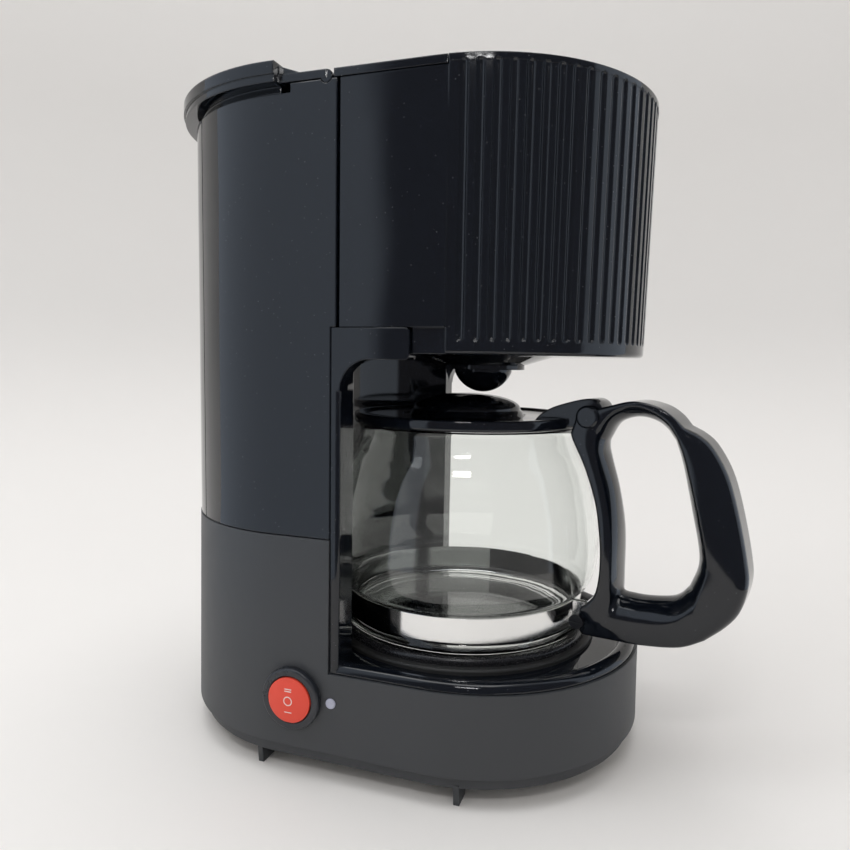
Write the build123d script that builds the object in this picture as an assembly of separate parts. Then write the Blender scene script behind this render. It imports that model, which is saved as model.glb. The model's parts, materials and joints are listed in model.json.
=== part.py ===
from build123d import *
import os
from math import asin, cos, degrees, radians, sin, sqrt

# A compact drip coffee maker. Millimetres: x runs across, y from the front to the rear, z up from the
# table. Until the pieces are written, x = y = 0 is the upright axis of the rounded front.

# Overall sizes
BODY_WIDTH = 140.0
SIDE_LENGTH = 59.0        # straight sides, between the round front and the rear bulge
REAR_BULGE = 66.0
FOOT_HEIGHT = 12.0
BASE_HEIGHT = 30.5
SEAM_RISE = 50.1          # from the top of the base to the seam under the tank shell
JUG_HEIGHT = 96.7
DRUM_HEIGHT = 96.9
WALL = 2.0
FLARE = 1.0               # the base is this much wider at its lower edge than at the seam
SHELL_STEP = 0.3          # gloss shells stand this far inside the outline
SEAM_LINE_BEHIND = 41.0   # fine upright groove on both sides of the shell's rear bulge
PIECE_GAP = 0.3
SLIDE_GAP = 0.05          # radial running clearance of pins and stems

# The bay in which the jug stands
JUG_Y = 4.7               # the jug's axis
COLUMN_FRONT = 33.9       # front face of the column and of the tank shell
SIDE_MARGIN = 12.0        # from the jug's widest point to the machine's side
BAY_CLEARANCE = 6.0
BEAD_WIDTH = 7.0
BEAD_RISE = 3.5
SHELF_THICK = 2.5
ARM_DEPTH = 11.0
ARM_THICK = 7.0
ARM_FRONT = 6.4
ARM_LAP = 8.8             # the arms reach this far above the drum's lower rim
ARCH_RADIUS = 11.5

# Hot plate and what hangs under it
PLATE_STAND = 5.4         # top of the plate above the base
PLATE_RADIUS = 54.0
PLATE_FLANGE = 2.9
PLATE_WELL = 50.0
SEAL_RADIUS = 57.0
PAD_RADIUS = 34.0
PAD_DEPTH = 5.4
BOILER_RADIUS = 26.0      # centre line of the horseshoe
BOILER_TUBE = 4.0
BOILER_BORE = 2.8
BOILER_END = 56.0
ELEMENT_ROD = 3.3
STUD_RADIUS = 2.5

# Jug
SEAT_GAP = 0.3
GLASS = 1.8
BAND_THICK = 0.5
BAND_LOW = 4.6            # above the jug's bottom
BAND_WIDTH = 9.8
HANDLE_ANGLE = 13.0       # the handle is turned this far from straight ahead
HANDLE_WIDTH = 20.0
LEVER_WIDTH = 14.0
LID_PIN = 1.5
PLUG_DEPTH = 3.0             # the lid's rim reaches this far into the neck

# Drip stop
VALVE_Y = -2.2
VALVE_GAP = 0.6           # between the closed knob and the jug's lid
VALVE_DROP = 15.2         # the knob's tip below the drum's lower rim
VALVE_LIFT = 2.5
KNOB_RADIUS = 12.2
COLLAR_RADIUS = 17.6
STEM_RADIUS = 3.0

# Basket drawer
DRUM_STEP = 0.5           # the drum's rim stands this far inside the outline
DRUM_TAPER = 1.7          # narrower at the lower rim
DRUM_WALL = 2.5
DRAWER_REAR = 33.6
NOTCH_Y = -5.9            # the fluted front ends here
RIM_HEIGHT = 2.2
FLUTE_PITCH = 4.5         # degrees
FLUTE_RADIUS = 1.7
FLUTE_DEPTH = 0.9
FLUTE_FOOT = 6.0          # the flutes end this far above the lower rim
CUP_WALL = 1.8
MESH_WALL = 0.6

# Water tank, its lid and the hinge
COVER_THICK = 2.8
LIP_RISE = 4.0            # the lid's raised rear above the flat top
LIP_OVERHANG = 3.0        # at the sides
LIP_REACH = 6.0           # at the rear
LIP_START = 57.0
RAMP_LENGTH = 9.0             # from the raised rear down to the flat top
LIP_RECESS = 3.0              # the shell's rim is this much lower under the lip
HINGE_Y = 38.0
HINGE_RADIUS = 2.2
HINGE_PIN = 1.1
EAR_WIDTH = 6.0
TANK_WALL = 2.0

# Pipework
HOSE_WALL = 1.7
RISER_DROP = 14.1         # the riser's run under the flat top
RISER_BEHIND = 14.8           # the riser and the tank's outlet behind the bay's wall
INLET_BEHIND = 23.8
BALL_RADIUS = 3.0

# Switch, lamp and cord inlet
SWITCH_BACK = 8.6         # ahead of the end of the straight side
SWITCH_RISE = 19.6        # above the skirt
BEZEL_RADIUS = 11.75
SWITCH_BODY = 10.0
SWITCH_DEPTH = 18.0
ROCKER_RADIUS = 8.6
LENS_RADIUS = 2.0
LENS_AHEAD = 15.7         # lamp ahead of the switch
GLAND_BORE = 3.4

# Heights and places that follow from the sizes above
HALF = BODY_WIDTH / 2
REAR_Y = SIDE_LENGTH + REAR_BULGE
SEAM_LINE_Y = SIDE_LENGTH + SEAM_LINE_BEHIND
BASE_TOP = FOOT_HEIGHT + BASE_HEIGHT
SEAM_Z = BASE_TOP + SEAM_RISE
SHELF_Z = BASE_TOP + 0.5
PLATE_TOP = BASE_TOP + PLATE_STAND
JUG_Z = PLATE_TOP + SEAT_GAP
JUG_TOP = JUG_Z + JUG_HEIGHT
TIP_Z = JUG_TOP + VALVE_GAP
DRUM_Z = TIP_Z + VALVE_DROP
TOP_Z = DRUM_Z + DRUM_HEIGHT
ARM_TOP = DRUM_Z + ARM_LAP
ARM_Z = ARM_TOP - ARM_DEPTH
COVER_Z = TOP_Z - COVER_THICK
SHELL_TOP = COVER_Z - 0.6
HINGE_Z = TOP_Z - HINGE_RADIUS
TANK_TOP = SHELL_TOP - 3.5
JUG_RADIUS = HALF - SIDE_MARGIN
BAY_RADIUS = JUG_RADIUS + BAY_CLEARANCE
BAY_BACK = JUG_Y + BAY_RADIUS + SHELF_THICK
RISER_Y = BAY_BACK + RISER_BEHIND
INLET_Y = BAY_BACK + INLET_BEHIND
BOILER_Z = PLATE_TOP - PLATE_FLANGE - 1.8 - PAD_DEPTH - 0.2 - BOILER_TUBE
RISER_Z = TOP_Z - RISER_DROP
DRUM_RADIUS = HALF - DRUM_STEP
DRUM_BORE = DRUM_RADIUS - DRUM_WALL - DRUM_TAPER / 2
SWITCH_Y = SIDE_LENGTH - SWITCH_BACK
SWITCH_Z = FOOT_HEIGHT + SWITCH_RISE
FAR = 400.0               # longer than the machine, for cutting blocks


def plan(inset, rear_inset=None):
    """The machine's outline from above, drawn in by inset."""
    half = HALF - inset
    bulge = REAR_BULGE - (inset if rear_inset is None else rear_inset)
    return make_face([
        CenterArc((0, 0), half, 180, 180),
        Line((half, 0), (half, SIDE_LENGTH)),
        EllipticalCenterArc((0, SIDE_LENGTH), half, bulge, 0, arc_size=180),
        Line((-half, SIDE_LENGTH), (-half, 0)),
    ])


def prism(face, low, high):
    return Pos(0, 0, low) * extrude(face, amount=high - low)


def block(x0, x1, y0, y1, z0, z1):
    corner = (Align.MIN, Align.MIN, Align.MIN)
    return Pos(x0, y0, z0) * Box(x1 - x0, y1 - y0, z1 - z0, align=corner)


def disc(radius, low, high, x=0.0, y=0.0):
    upright = (Align.CENTER, Align.CENTER, Align.MIN)
    return Pos(x, y, low) * Cylinder(radius, high - low, align=upright)


def rod_x(radius, x0, x1, y, z):
    return Pos((x0 + x1) / 2, y, z) * Rot(0, 90, 0) * Cylinder(radius, x1 - x0)


def rod_y(radius, y0, y1, x, z):
    return Pos(x, (y0 + y1) / 2, z) * Rot(90, 0, 0) * Cylinder(radius, y1 - y0)


def behind(y):
    return block(-FAR, FAR, y, FAR, -FAR, FAR)


def ahead(y):
    return block(-FAR, FAR, -FAR, y, -FAR, FAR)


def lathe(points, y=0.0):
    """A turned solid about the upright axis at y, from (radius, height) points."""
    return Pos(0, y, 0) * revolve(Plane.XZ * make_face(Polyline(*points, close=True)), Axis.Z)


def ring_wall(inset, thick, low, high):
    return prism(plan(inset), low, high) - prism(plan(inset + thick), low, high)


def both_sides(shape):
    return [shape, mirror(shape, Plane.YZ)]


def half_width(z):
    """Half the width of the flared base at height z."""
    return HALF + FLARE * (SEAM_Z - z) / (SEAM_Z - FOOT_HEIGHT)


# ---- Base
BOSS_RADIUS = 3.6
BOSS_INSET = 4.9
SCREW_RADIUS = 1.45
BOSS_PLACES = [(side * (HALF - WALL - BOSS_INSET), y) for side in (-1, 1) for y in (4.0, SIDE_LENGTH + 14.0)]
COVER_UNDER = FOOT_HEIGHT - 5.0
COVER_TOP = COVER_UNDER + WALL
TRAY_RIM = FOOT_HEIGHT + 1.0
SWITCH_FACE = -half_width(SWITCH_Z - BEZEL_RADIUS) - SLIDE_GAP
LENS_Y = SWITCH_Y - LENS_AHEAD
GLAND_Z = FOOT_HEIGHT + 15.0
GLAND_RADIUS = GLAND_BORE + 2.6
GLAND_FACE = REAR_Y + half_width(GLAND_Z - GLAND_RADIUS - 3) - HALF


def base_flare(inset):
    low = Pos(0, 0, FOOT_HEIGHT) * plan(inset - FLARE)
    return loft([low, Pos(0, 0, SEAM_Z) * plan(inset)])


def base_shell():
    """Matte lower housing: a flared skirt with a low front and a taller column behind the bay."""
    shell = base_flare(0) - base_flare(WALL)
    shell -= block(-FAR, FAR, -FAR, COLUMN_FRONT + 2.1, BASE_TOP, FAR)
    for x, y in BOSS_PLACES:
        boss = disc(BOSS_RADIUS, TRAY_RIM, BASE_TOP - 8.0, x, y)
        rib = block(min(x, 2 * x), max(x, 2 * x), y - 1, y + 1, TRAY_RIM, BASE_TOP - 8.0)
        shell += (boss + rib) & base_flare(WALL / 2)
        shell -= disc(SCREW_RADIUS + SLIDE_GAP, 0, COVER_TOP + 16.0, x, y)
    shell -= rod_x(SWITCH_BODY + PIECE_GAP / 2, -FAR, -HALF / 2, SWITCH_Y, SWITCH_Z)
    shell -= rod_x(LENS_RADIUS + SLIDE_GAP, -FAR, -HALF / 2, LENS_Y, SWITCH_Z)
    shell -= rod_y(GLAND_RADIUS + SLIDE_GAP, SIDE_LENGTH, FAR, 0, GLAND_Z)
    return shell


FOOT_LENGTH = 12.0
FOOT_THICK = 2.2
FOOT_PLACES = (-12.9, 67.1)
FOOT_REACH = HALF - 2.8


def foot(y):
    """A blade that tapers towards the table."""
    blade = make_face(Polyline(
        (FOOT_REACH - FOOT_LENGTH, COVER_UNDER + 1), (FOOT_REACH, COVER_UNDER + 1),
        (FOOT_REACH - 1.0, 0), (FOOT_REACH - FOOT_LENGTH + 3.0, 0), close=True))
    return Pos(0, y + FOOT_THICK / 2, 0) * extrude(Plane.XZ * blade, amount=FOOT_THICK)


def base_cover():
    """Recessed underside tray with four blade feet."""
    cover = prism(plan(WALL + PIECE_GAP - FLARE / 2), COVER_UNDER, COVER_TOP)
    cover += ring_wall(WALL + PIECE_GAP - FLARE / 2, WALL, COVER_UNDER, TRAY_RIM)
    for y in FOOT_PLACES:
        for blade in both_sides(foot(y)):
            cover += blade
    for x, y in BOSS_PLACES:
        cover += disc(BOSS_RADIUS, COVER_UNDER, TRAY_RIM, x, y) & prism(plan(WALL), 0, FAR)
        cover -= disc(SCREW_RADIUS + SLIDE_GAP, 0, FAR, x, y)
        cover -= disc(SCREW_RADIUS * 2, 0, COVER_UNDER + 1.6, x, y)
    return cover


def base_screws():
    """Four self-tapping screws up through the tray."""
    screws = []
    for x, y in BOSS_PLACES:
        head = disc(SCREW_RADIUS * 2 - SLIDE_GAP * 2, COVER_UNDER, COVER_UNDER + 1.6, x, y)
        slot = block(x - 2, x + 2, y - 0.4, y + 0.4, 0, COVER_UNDER + 0.8)
        screws.append(head + disc(SCREW_RADIUS, COVER_UNDER, COVER_TOP + 14.0, x, y) - slot)
    return Part() + screws


# ---- Gloss frame: shelf, column and arms
FRAME_SIDE = HALF - SHELL_STEP - 0.1


def column_front():
    strip = prism(plan(SHELL_STEP + 0.1), BASE_TOP, ARM_TOP)
    strip &= block(-FAR, FAR, COLUMN_FRONT - 1.5, COLUMN_FRONT + 1.8, 0, FAR)
    strip -= disc(BAY_RADIUS, 0, FAR, 0, JUG_Y)
    upright = strip.edges().filter_by(Axis.Z)
    outer = [edge for edge in upright if abs(edge.center().X) > FRAME_SIDE - 0.1
             and edge.center().Y < COLUMN_FRONT]
    return fillet(outer, 1.4)


def arm():
    """One rail that carries the basket drawer, with an arch under it where it leaves the column."""
    inner = FRAME_SIDE - ARM_THICK
    front = block(inner, FRAME_SIDE, ARM_FRONT, COLUMN_FRONT, ARM_Z, ARM_TOP)
    front = fillet(front.edges().filter_by(Axis.X).sort_by(Axis.Y)[:2], 1.5)
    corner = COLUMN_FRONT - 1.5 - ARCH_RADIUS
    arch = block(inner, FRAME_SIDE, corner, COLUMN_FRONT, ARM_Z - ARCH_RADIUS, ARM_Z)
    arch -= rod_x(ARCH_RADIUS, 0, FAR, corner, ARM_Z - ARCH_RADIUS)
    return front + arch


def body_frame():
    """Shelf with a raised bead, concave bay wall, column edges, ceiling and the two arms."""
    bay = disc(BAY_RADIUS, 0, FAR, 0, JUG_Y)
    bay_wall = disc(BAY_RADIUS + SHELF_THICK, BASE_TOP - 2, ARM_TOP, 0, JUG_Y) & behind(COLUMN_FRONT)
    inside = prism(plan(WALL + PIECE_GAP), BASE_TOP - 2, SHELF_Z)
    shelf = inside & (ahead(COLUMN_FRONT + 0.5) + bay_wall)
    bead = ring_wall(SHELL_STEP + 0.1, BEAD_WIDTH, BASE_TOP, BASE_TOP + BEAD_RISE)
    bead &= ahead(COLUMN_FRONT)
    top_edges = bead.faces().sort_by(Axis.Z)[-1].edges()
    rounded = [edge for edge in top_edges if edge.center().Y < COLUMN_FRONT - 0.5]
    frame = shelf + fillet(rounded, BEAD_RISE - 0.3) + (bay_wall - bay) + column_front()
    ceiling = disc(BAY_RADIUS + SHELF_THICK, ARM_TOP - SHELF_THICK, ARM_TOP, 0, JUG_Y)
    frame += ceiling & behind(COLUMN_FRONT)
    for rail in both_sides(arm()):
        frame += rail
    barrel = SWITCH_BODY + PIECE_GAP
    frame -= rod_x(barrel, SWITCH_FACE, SWITCH_FACE + SWITCH_DEPTH + PIECE_GAP, SWITCH_Y, SWITCH_Z)
    return frame - disc(PLATE_WELL + PIECE_GAP, 0, SHELF_Z, 0, JUG_Y)


# ---- Hot plate, boiler and their small parts
PLATE_UNDER = PLATE_TOP - PLATE_FLANGE - 1.8
PAD_UNDER = PLATE_UNDER - PAD_DEPTH
CLAMP_TOP = BOILER_Z - BOILER_TUBE - 0.2
CLAMP_THICK = 1.6
NUT_HEIGHT = 4.0


def hot_plate():
    """Coated plate with a flange, a pad for the boiler and a threaded stud."""
    flange = disc(PLATE_RADIUS, PLATE_TOP - PLATE_FLANGE, PLATE_TOP, 0, JUG_Y)
    flange = fillet(flange.edges().sort_by(Axis.Z)[-1], 1.6)
    plate = flange + disc(PLATE_WELL, PLATE_UNDER, PLATE_TOP - PLATE_FLANGE, 0, JUG_Y)
    plate += disc(PAD_RADIUS, PAD_UNDER, PLATE_UNDER, 0, JUG_Y)
    return plate + disc(STUD_RADIUS, CLAMP_TOP - CLAMP_THICK - NUT_HEIGHT - 1, PAD_UNDER, 0, JUG_Y)


def plate_seal():
    seal = disc(SEAL_RADIUS, SHELF_Z, PLATE_TOP - PLATE_FLANGE, 0, JUG_Y)
    seal = fillet(seal.edges().sort_by(Axis.Z)[-1], 1.0)
    return seal - disc(PLATE_WELL + SLIDE_GAP, 0, FAR, 0, JUG_Y)


def horseshoe(radius, end, z):
    """Path of a U that opens to the rear, round the front of the jug's axis."""
    return Wire([
        Line((radius, end, z), (radius, JUG_Y, z)),
        ThreePointArc((radius, JUG_Y, z), (0, JUG_Y - radius, z), (-radius, JUG_Y, z)),
        Line((-radius, JUG_Y, z), (-radius, end, z)),
    ])


def pipe(path, outer, bore=0.0):
    """A round tube along a path, solid when it has no bore."""
    start = Plane(origin=path @ 0, z_dir=path % 0)
    tube = sweep(start * Circle(outer), path=path)
    if bore:
        tube -= sweep(start * Circle(bore), path=path)
    return tube


def boiler_tube():
    return pipe(horseshoe(BOILER_RADIUS, BOILER_END, BOILER_Z), BOILER_TUBE, BOILER_BORE)


ELEMENT_RADIUS = BOILER_RADIUS - BOILER_TUBE - ELEMENT_ROD - PIECE_GAP


def heating_element():
    end = BOILER_END - 16
    rod = pipe(horseshoe(ELEMENT_RADIUS, end, BOILER_Z), ELEMENT_ROD)
    for x in (-ELEMENT_RADIUS, ELEMENT_RADIUS):
        rod += rod_y(1.2, end, end + 6, x, BOILER_Z)
    return rod


def heater_clamp():
    """Steel bar that the stud's nut pulls up against boiler and element."""
    reach = BOILER_RADIUS + BOILER_TUBE + 3
    bar = block(-reach, reach, JUG_Y - 7, JUG_Y + 7, CLAMP_TOP - CLAMP_THICK, CLAMP_TOP)
    bar = fillet(bar.edges().filter_by(Axis.Z), 4)
    return bar - disc(STUD_RADIUS + 0.2, 0, FAR, 0, JUG_Y)


def clamp_nut():
    low = CLAMP_TOP - CLAMP_THICK - NUT_HEIGHT
    nut = Pos(0, JUG_Y, low) * extrude(RegularPolygon(4.6, 6), amount=NUT_HEIGHT)
    return nut - disc(STUD_RADIUS + SLIDE_GAP, 0, FAR, 0, JUG_Y)


def thermostat():
    """Bimetal switch under the pad, with a flange and two tabs."""
    y = JUG_Y + 20.0
    body = disc(8.0, PAD_UNDER - 7.0, PAD_UNDER - 1.2, 0, y) + disc(9.5, PAD_UNDER - 1.2, PAD_UNDER, 0, y)
    for x in (-4.0, 4.0):
        body += block(x - 0.4, x + 0.4, y - 2.4, y + 2.4, PAD_UNDER - 14.0, PAD_UNDER - 7.0)
    return body


def thermal_fuse():
    """Fuse link in a sleeve, on its two leads."""
    y = JUG_Y + 38.0
    sleeve = rod_x(2.6, -10, 10, y, BOILER_Z)
    return sleeve + rod_x(0.6, -14, 14, y, BOILER_Z)


# ---- Pipework
STUB_RADIUS = 5.0
CHECK_RADIUS = 7.0
CHECK_TOP = SEAM_Z + 4.0
CHECK_LOW = CHECK_TOP - 22.0
TANK_LOW = SEAM_Z + 6.0
BALL_LIFT = 2.0


def check_valve_body():
    """Non-return valve under the tank: a socket, a ball chamber and a hose nipple."""
    body = disc(CHECK_RADIUS, CHECK_LOW, CHECK_TOP, BOILER_RADIUS, INLET_Y)
    body += disc(BOILER_TUBE, CHECK_LOW - 12, CHECK_LOW, BOILER_RADIUS, INLET_Y)
    body -= disc(STUB_RADIUS + SLIDE_GAP, CHECK_TOP - 8, CHECK_TOP, BOILER_RADIUS, INLET_Y)
    body -= disc(BALL_RADIUS + PIECE_GAP, CHECK_LOW + 2, CHECK_TOP - 10, BOILER_RADIUS, INLET_Y)
    return body - disc(BALL_RADIUS - 1, CHECK_LOW - 12, CHECK_TOP, BOILER_RADIUS, INLET_Y)


def check_ball():
    """Rests in the foot of its chamber, on the rim of the lower bore."""
    seat_drop = sqrt(BALL_RADIUS ** 2 - (BALL_RADIUS - 1) ** 2)
    return Pos(BOILER_RADIUS, INLET_Y, CHECK_LOW + 2 + seat_drop + SLIDE_GAP) * Sphere(BALL_RADIUS)


def cold_water_hose():
    """From the non-return valve down to the boiler's inlet."""
    path = FilletPolyline(
        (BOILER_RADIUS, INLET_Y, CHECK_LOW - SLIDE_GAP),
        (BOILER_RADIUS, INLET_Y, BOILER_Z),
        (BOILER_RADIUS, BOILER_END - 10, BOILER_Z), radius=16)
    bore = BOILER_TUBE + SLIDE_GAP
    return pipe(path, bore + HOSE_WALL, bore)


def hot_water_riser():
    """From the boiler's outlet up through the tank and forward to the spray head."""
    path = FilletPolyline(
        (-BOILER_RADIUS, BOILER_END - 10, BOILER_Z),
        (-BOILER_RADIUS, RISER_Y, BOILER_Z),
        (-BOILER_RADIUS, RISER_Y, RISER_Z),
        (0, RISER_Y - BOILER_RADIUS, RISER_Z),
        (0, SPRAY_NECK - 3, RISER_Z), radius=12)
    return pipe(path, RISER_RADIUS, BOILER_TUBE + SLIDE_GAP)


RISER_RADIUS = BOILER_TUBE + SLIDE_GAP + HOSE_WALL
SPRAY_NECK = 10.0
CLIP_WIDTH = 6.0


def spring_clip(radius):
    """A flat-band hose clip with two pinching ears, about the upright axis."""
    band = disc(radius + 0.9, 0, CLIP_WIDTH) - disc(radius + SLIDE_GAP, 0, CLIP_WIDTH)
    for side in (-1, 1):
        x = side * 1.6
        band += block(x - 0.4, x + 0.4, radius + 0.3, radius + 6, 0, CLIP_WIDTH)
    return band


def hose_clips():
    """Clips where the hoses push on to the valve and the boiler."""
    clip = spring_clip(BOILER_TUBE + SLIDE_GAP + HOSE_WALL)
    places = [Pos(BOILER_RADIUS, INLET_Y, CHECK_LOW - 10)]
    for x in (-BOILER_RADIUS, BOILER_RADIUS):
        places.append(Pos(x, BOILER_END - 2, BOILER_Z) * Rot(90, 0, 0) * Rot(0, 0, 180))
    return Part() + [place * clip for place in places]


def tank_grommet():
    """Rubber sleeve that seals the riser in the tank's floor."""
    bore = RISER_RADIUS + SLIDE_GAP
    profile = [(bore, -3), (bore + 4, -3), (bore + 4, -SLIDE_GAP), (bore + 2, -SLIDE_GAP),
               (bore + 2, TANK_WALL + SLIDE_GAP), (bore + 4, TANK_WALL + SLIDE_GAP),
               (bore + 4, TANK_WALL + 3), (bore, TANK_WALL + 3)]
    return Pos(-BOILER_RADIUS, RISER_Y, TANK_LOW) * lathe(profile)


# ---- Tank shell, water tank, head cover and lid
def tank_shell():
    """Gloss upper housing: rear wall and a flat front wall above the bay."""
    shell = ring_wall(SHELL_STEP, WALL, SEAM_Z + PIECE_GAP, SHELL_TOP) & behind(COLUMN_FRONT + 2.1)
    front = prism(plan(SHELL_STEP), ARM_TOP + PIECE_GAP, SHELL_TOP)
    shell += front & block(-FAR, FAR, COLUMN_FRONT, COLUMN_FRONT + 2.5, 0, FAR)
    shell -= rod_x(HINGE_RADIUS + PIECE_GAP, -FAR, FAR, HINGE_Y, HINGE_Z)
    shell -= block(-FAR, FAR, LIP_START - 5.0, FAR, SHELL_TOP - LIP_RECESS, FAR)
    groove = ring_wall(SHELL_STEP, 0.4, SEAM_Z, SHELL_TOP)
    shell -= groove & block(-FAR, FAR, SEAM_LINE_Y - 0.25, SEAM_LINE_Y + 0.25, 0, FAR)
    return shell - rod_y(RISER_RADIUS + PIECE_GAP, 0, SIDE_LENGTH, 0, RISER_Z)


def tank_block(inset, low, step_low, top):
    """The tank's stepped volume: deep behind the bay, shallow above it."""
    deep = prism(plan(SHELL_STEP + WALL + inset), low, top) & behind(BAY_BACK + inset)
    shallow = prism(plan(SHELL_STEP + WALL + inset), step_low, top)
    return deep + (shallow & behind(COLUMN_FRONT + 2.5 + inset))


def water_tank():
    """Open-topped tub with an outlet stub and small pads that stand on the frame's ceiling."""
    clearance = 2.0
    step = ARM_TOP + 4.5
    tank = tank_block(clearance, TANK_LOW, step, TANK_TOP)
    tank -= tank_block(clearance + TANK_WALL, TANK_LOW + TANK_WALL, step + TANK_WALL, FAR)
    for x in (-30.0, 30.0):
        tank += block(x - 5, x + 5, SIDE_LENGTH - 10, SIDE_LENGTH, ARM_TOP, step + 1)
    tank += disc(STUB_RADIUS, CHECK_TOP - 7.5, TANK_LOW + 1, BOILER_RADIUS, INLET_Y)
    tank -= disc(STUB_RADIUS - 1.5, 0, TANK_LOW + TANK_WALL, BOILER_RADIUS, INLET_Y)
    grommet_neck = RISER_RADIUS + 2 * SLIDE_GAP + 2
    tank -= disc(grommet_neck, 0, TANK_LOW + TANK_WALL, -BOILER_RADIUS, RISER_Y)
    return tank - rod_y(RISER_RADIUS + PIECE_GAP, 0, SIDE_LENGTH, 0, RISER_Z)


EAR_X = HALF - 26.0
RIB_X = 30.0


def hinge_bores(cut):
    for bore in both_sides(rod_x(HINGE_PIN + SLIDE_GAP, EAR_X - 12, EAR_X + 20, HINGE_Y, HINGE_Z)):
        cut -= bore
    return cut


def brew_head_cover():
    """Fixed flat top over the basket, with two ribs under it and the ears of the lid's hinge."""
    front = disc(DRUM_BORE - PIECE_GAP, COVER_Z, TOP_Z) & ahead(NOTCH_Y + 1)
    wide = prism(plan(DRUM_STEP), COVER_Z, TOP_Z)
    cover = front + (wide & block(-FAR, FAR, NOTCH_Y + PIECE_GAP, HINGE_Y - HINGE_RADIUS - 0.6, 0, FAR))
    for x in (-RIB_X, RIB_X):
        cover += block(x - 1, x + 1, NOTCH_Y - 30, DRAWER_REAR, COVER_Z - 4.0, COVER_Z)
    reach = COLUMN_FRONT + 2.5
    cover += block(-HALF / 2, HALF / 2, COLUMN_FRONT, reach - 0.6, SHELL_TOP, COVER_Z)
    for ear in both_sides(rod_x(HINGE_RADIUS, EAR_X, EAR_X + EAR_WIDTH, HINGE_Y, HINGE_Z)):
        cover += ear
    for web in both_sides(block(EAR_X, EAR_X + EAR_WIDTH, COLUMN_FRONT, HINGE_Y, COVER_Z, TOP_Z - 0.4)):
        cover += web
    return hinge_bores(cover)


def lid_lip():
    """Raised rear of the lid with a stepped lip that overhangs the shell and a ramp ahead of it."""
    low = SHELL_TOP + PIECE_GAP
    lip = prism(plan(-LIP_OVERHANG, -LIP_REACH), TOP_Z - 0.6, TOP_Z + LIP_RISE)
    lip = fillet(lip.edges().group_by(Axis.Z)[-1], 0.8)
    lip += prism(plan(0.7 - LIP_OVERHANG, 0.7 - LIP_REACH), low, TOP_Z)
    foot = LIP_START - RAMP_LENGTH
    crest = TOP_Z + LIP_RISE - 0.8
    wedge = make_face(Polyline((foot, TOP_Z - 0.6), (foot, TOP_Z), (LIP_START, crest), (LIP_START + 1, crest),
                               (LIP_START + 1, TOP_Z - 0.6), close=True))
    ramp = Pos(-HALF, 0, 0) * extrude(Plane.YZ * wedge, amount=BODY_WIDTH)
    return (lip & behind(LIP_START)) + (ramp & prism(plan(SHELL_STEP + 0.5), 0, FAR))


def tank_lid():
    """Hinged lid: a barrel along its front edge, a flat front part and a raised, lipped rear."""
    lid = prism(plan(SHELL_STEP), COVER_Z, TOP_Z) & behind(HINGE_Y)
    lid += lid_lip()
    lid += ring_wall(SHELL_STEP + WALL + PIECE_GAP, 1.5, COVER_Z - 3.0, COVER_Z + 0.5) & behind(LIP_START)
    lid += rod_x(HINGE_RADIUS, -HALF + DRUM_STEP, HALF - DRUM_STEP, HINGE_Y, HINGE_Z)
    slot_x = EAR_X - PIECE_GAP
    clear = HINGE_RADIUS + PIECE_GAP
    slot = block(slot_x, slot_x + EAR_WIDTH + 2 * PIECE_GAP, HINGE_Y - clear, HINGE_Y + clear,
                 HINGE_Z - clear, HINGE_Z + clear)
    for gap in both_sides(slot):
        lid -= gap
    return hinge_bores(lid)


def lid_hinge_pins():
    pin = rod_x(HINGE_PIN, EAR_X - 11, EAR_X + 19, HINGE_Y, HINGE_Z)
    return Part() + both_sides(pin)


SPRAY_LOW = RISER_Z - RISER_RADIUS - 2.0


def spray_head():
    """Shower disc under the head cover, with a socket for the riser."""
    head = disc(SPRAY_NECK, SPRAY_LOW, COVER_Z) + disc(22.0, SPRAY_LOW - 2.5, SPRAY_LOW)
    head -= rod_y(RISER_RADIUS + SLIDE_GAP, SPRAY_NECK - 3.5, SIDE_LENGTH, 0, RISER_Z)
    head -= disc(3.0, SPRAY_LOW - FAR, RISER_Z)
    for hole in PolarLocations(15.0, 12):
        head -= hole * disc(1.2, 0, SPRAY_LOW)
    return head


# ---- Basket drawer, filter and drip stop
WALL_LOW = ARM_TOP + 0.2
DECK_Z = TOP_Z - 32.0
CUP_FLANGE_Z = DECK_Z + WALL
CUP_FLOOR = DRUM_Z + 9.0
SINK_LOW = DRUM_Z + 3.4
CONE_LOW = DRUM_Z - 3.5
COLLAR_CUP = KNOB_RADIUS + PIECE_GAP


def basket_plan(inset, rear_corner):
    """The drawer's outline: a half-round front, short sides and a straight rear."""
    half = DRUM_RADIUS - inset
    rear = DRAWER_REAR - inset
    shape = make_face([
        CenterArc((0, 0), half, 180, 180),
        Line((half, 0), (half, rear)),
        Line((half, rear), (-half, rear)),
        Line((-half, rear), (-half, 0)),
    ])
    return fillet(shape.vertices().sort_by(Axis.Y)[-2:], rear_corner)


def drum_shell(inset):
    """Tapered front half-drum, its outer face drawn in by inset."""
    low = DRUM_RADIUS - DRUM_TAPER - inset
    points = [(0, DRUM_Z), (low, DRUM_Z), (DRUM_RADIUS - inset, TOP_Z), (0, TOP_Z)]
    return lathe(points) & ahead(NOTCH_Y)


def flute(angle):
    """One round-ended groove that follows the drum's taper."""
    low_z = DRUM_Z + FLUTE_FOOT
    high_z = TOP_Z - RIM_HEIGHT - 1.0
    lean = degrees(asin(DRUM_TAPER / DRUM_HEIGHT))
    offset = FLUTE_RADIUS - FLUTE_DEPTH
    low_radius = DRUM_RADIUS - DRUM_TAPER * (TOP_Z - low_z) / DRUM_HEIGHT + offset
    cutter = disc(FLUTE_RADIUS, 0, high_z - low_z) + Sphere(FLUTE_RADIUS)
    cutter += Pos(0, 0, high_z - low_z) * Sphere(FLUTE_RADIUS)
    return Rot(0, 0, angle) * Pos(low_radius, 0, low_z) * Rot(0, lean, 0) * cutter


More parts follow.
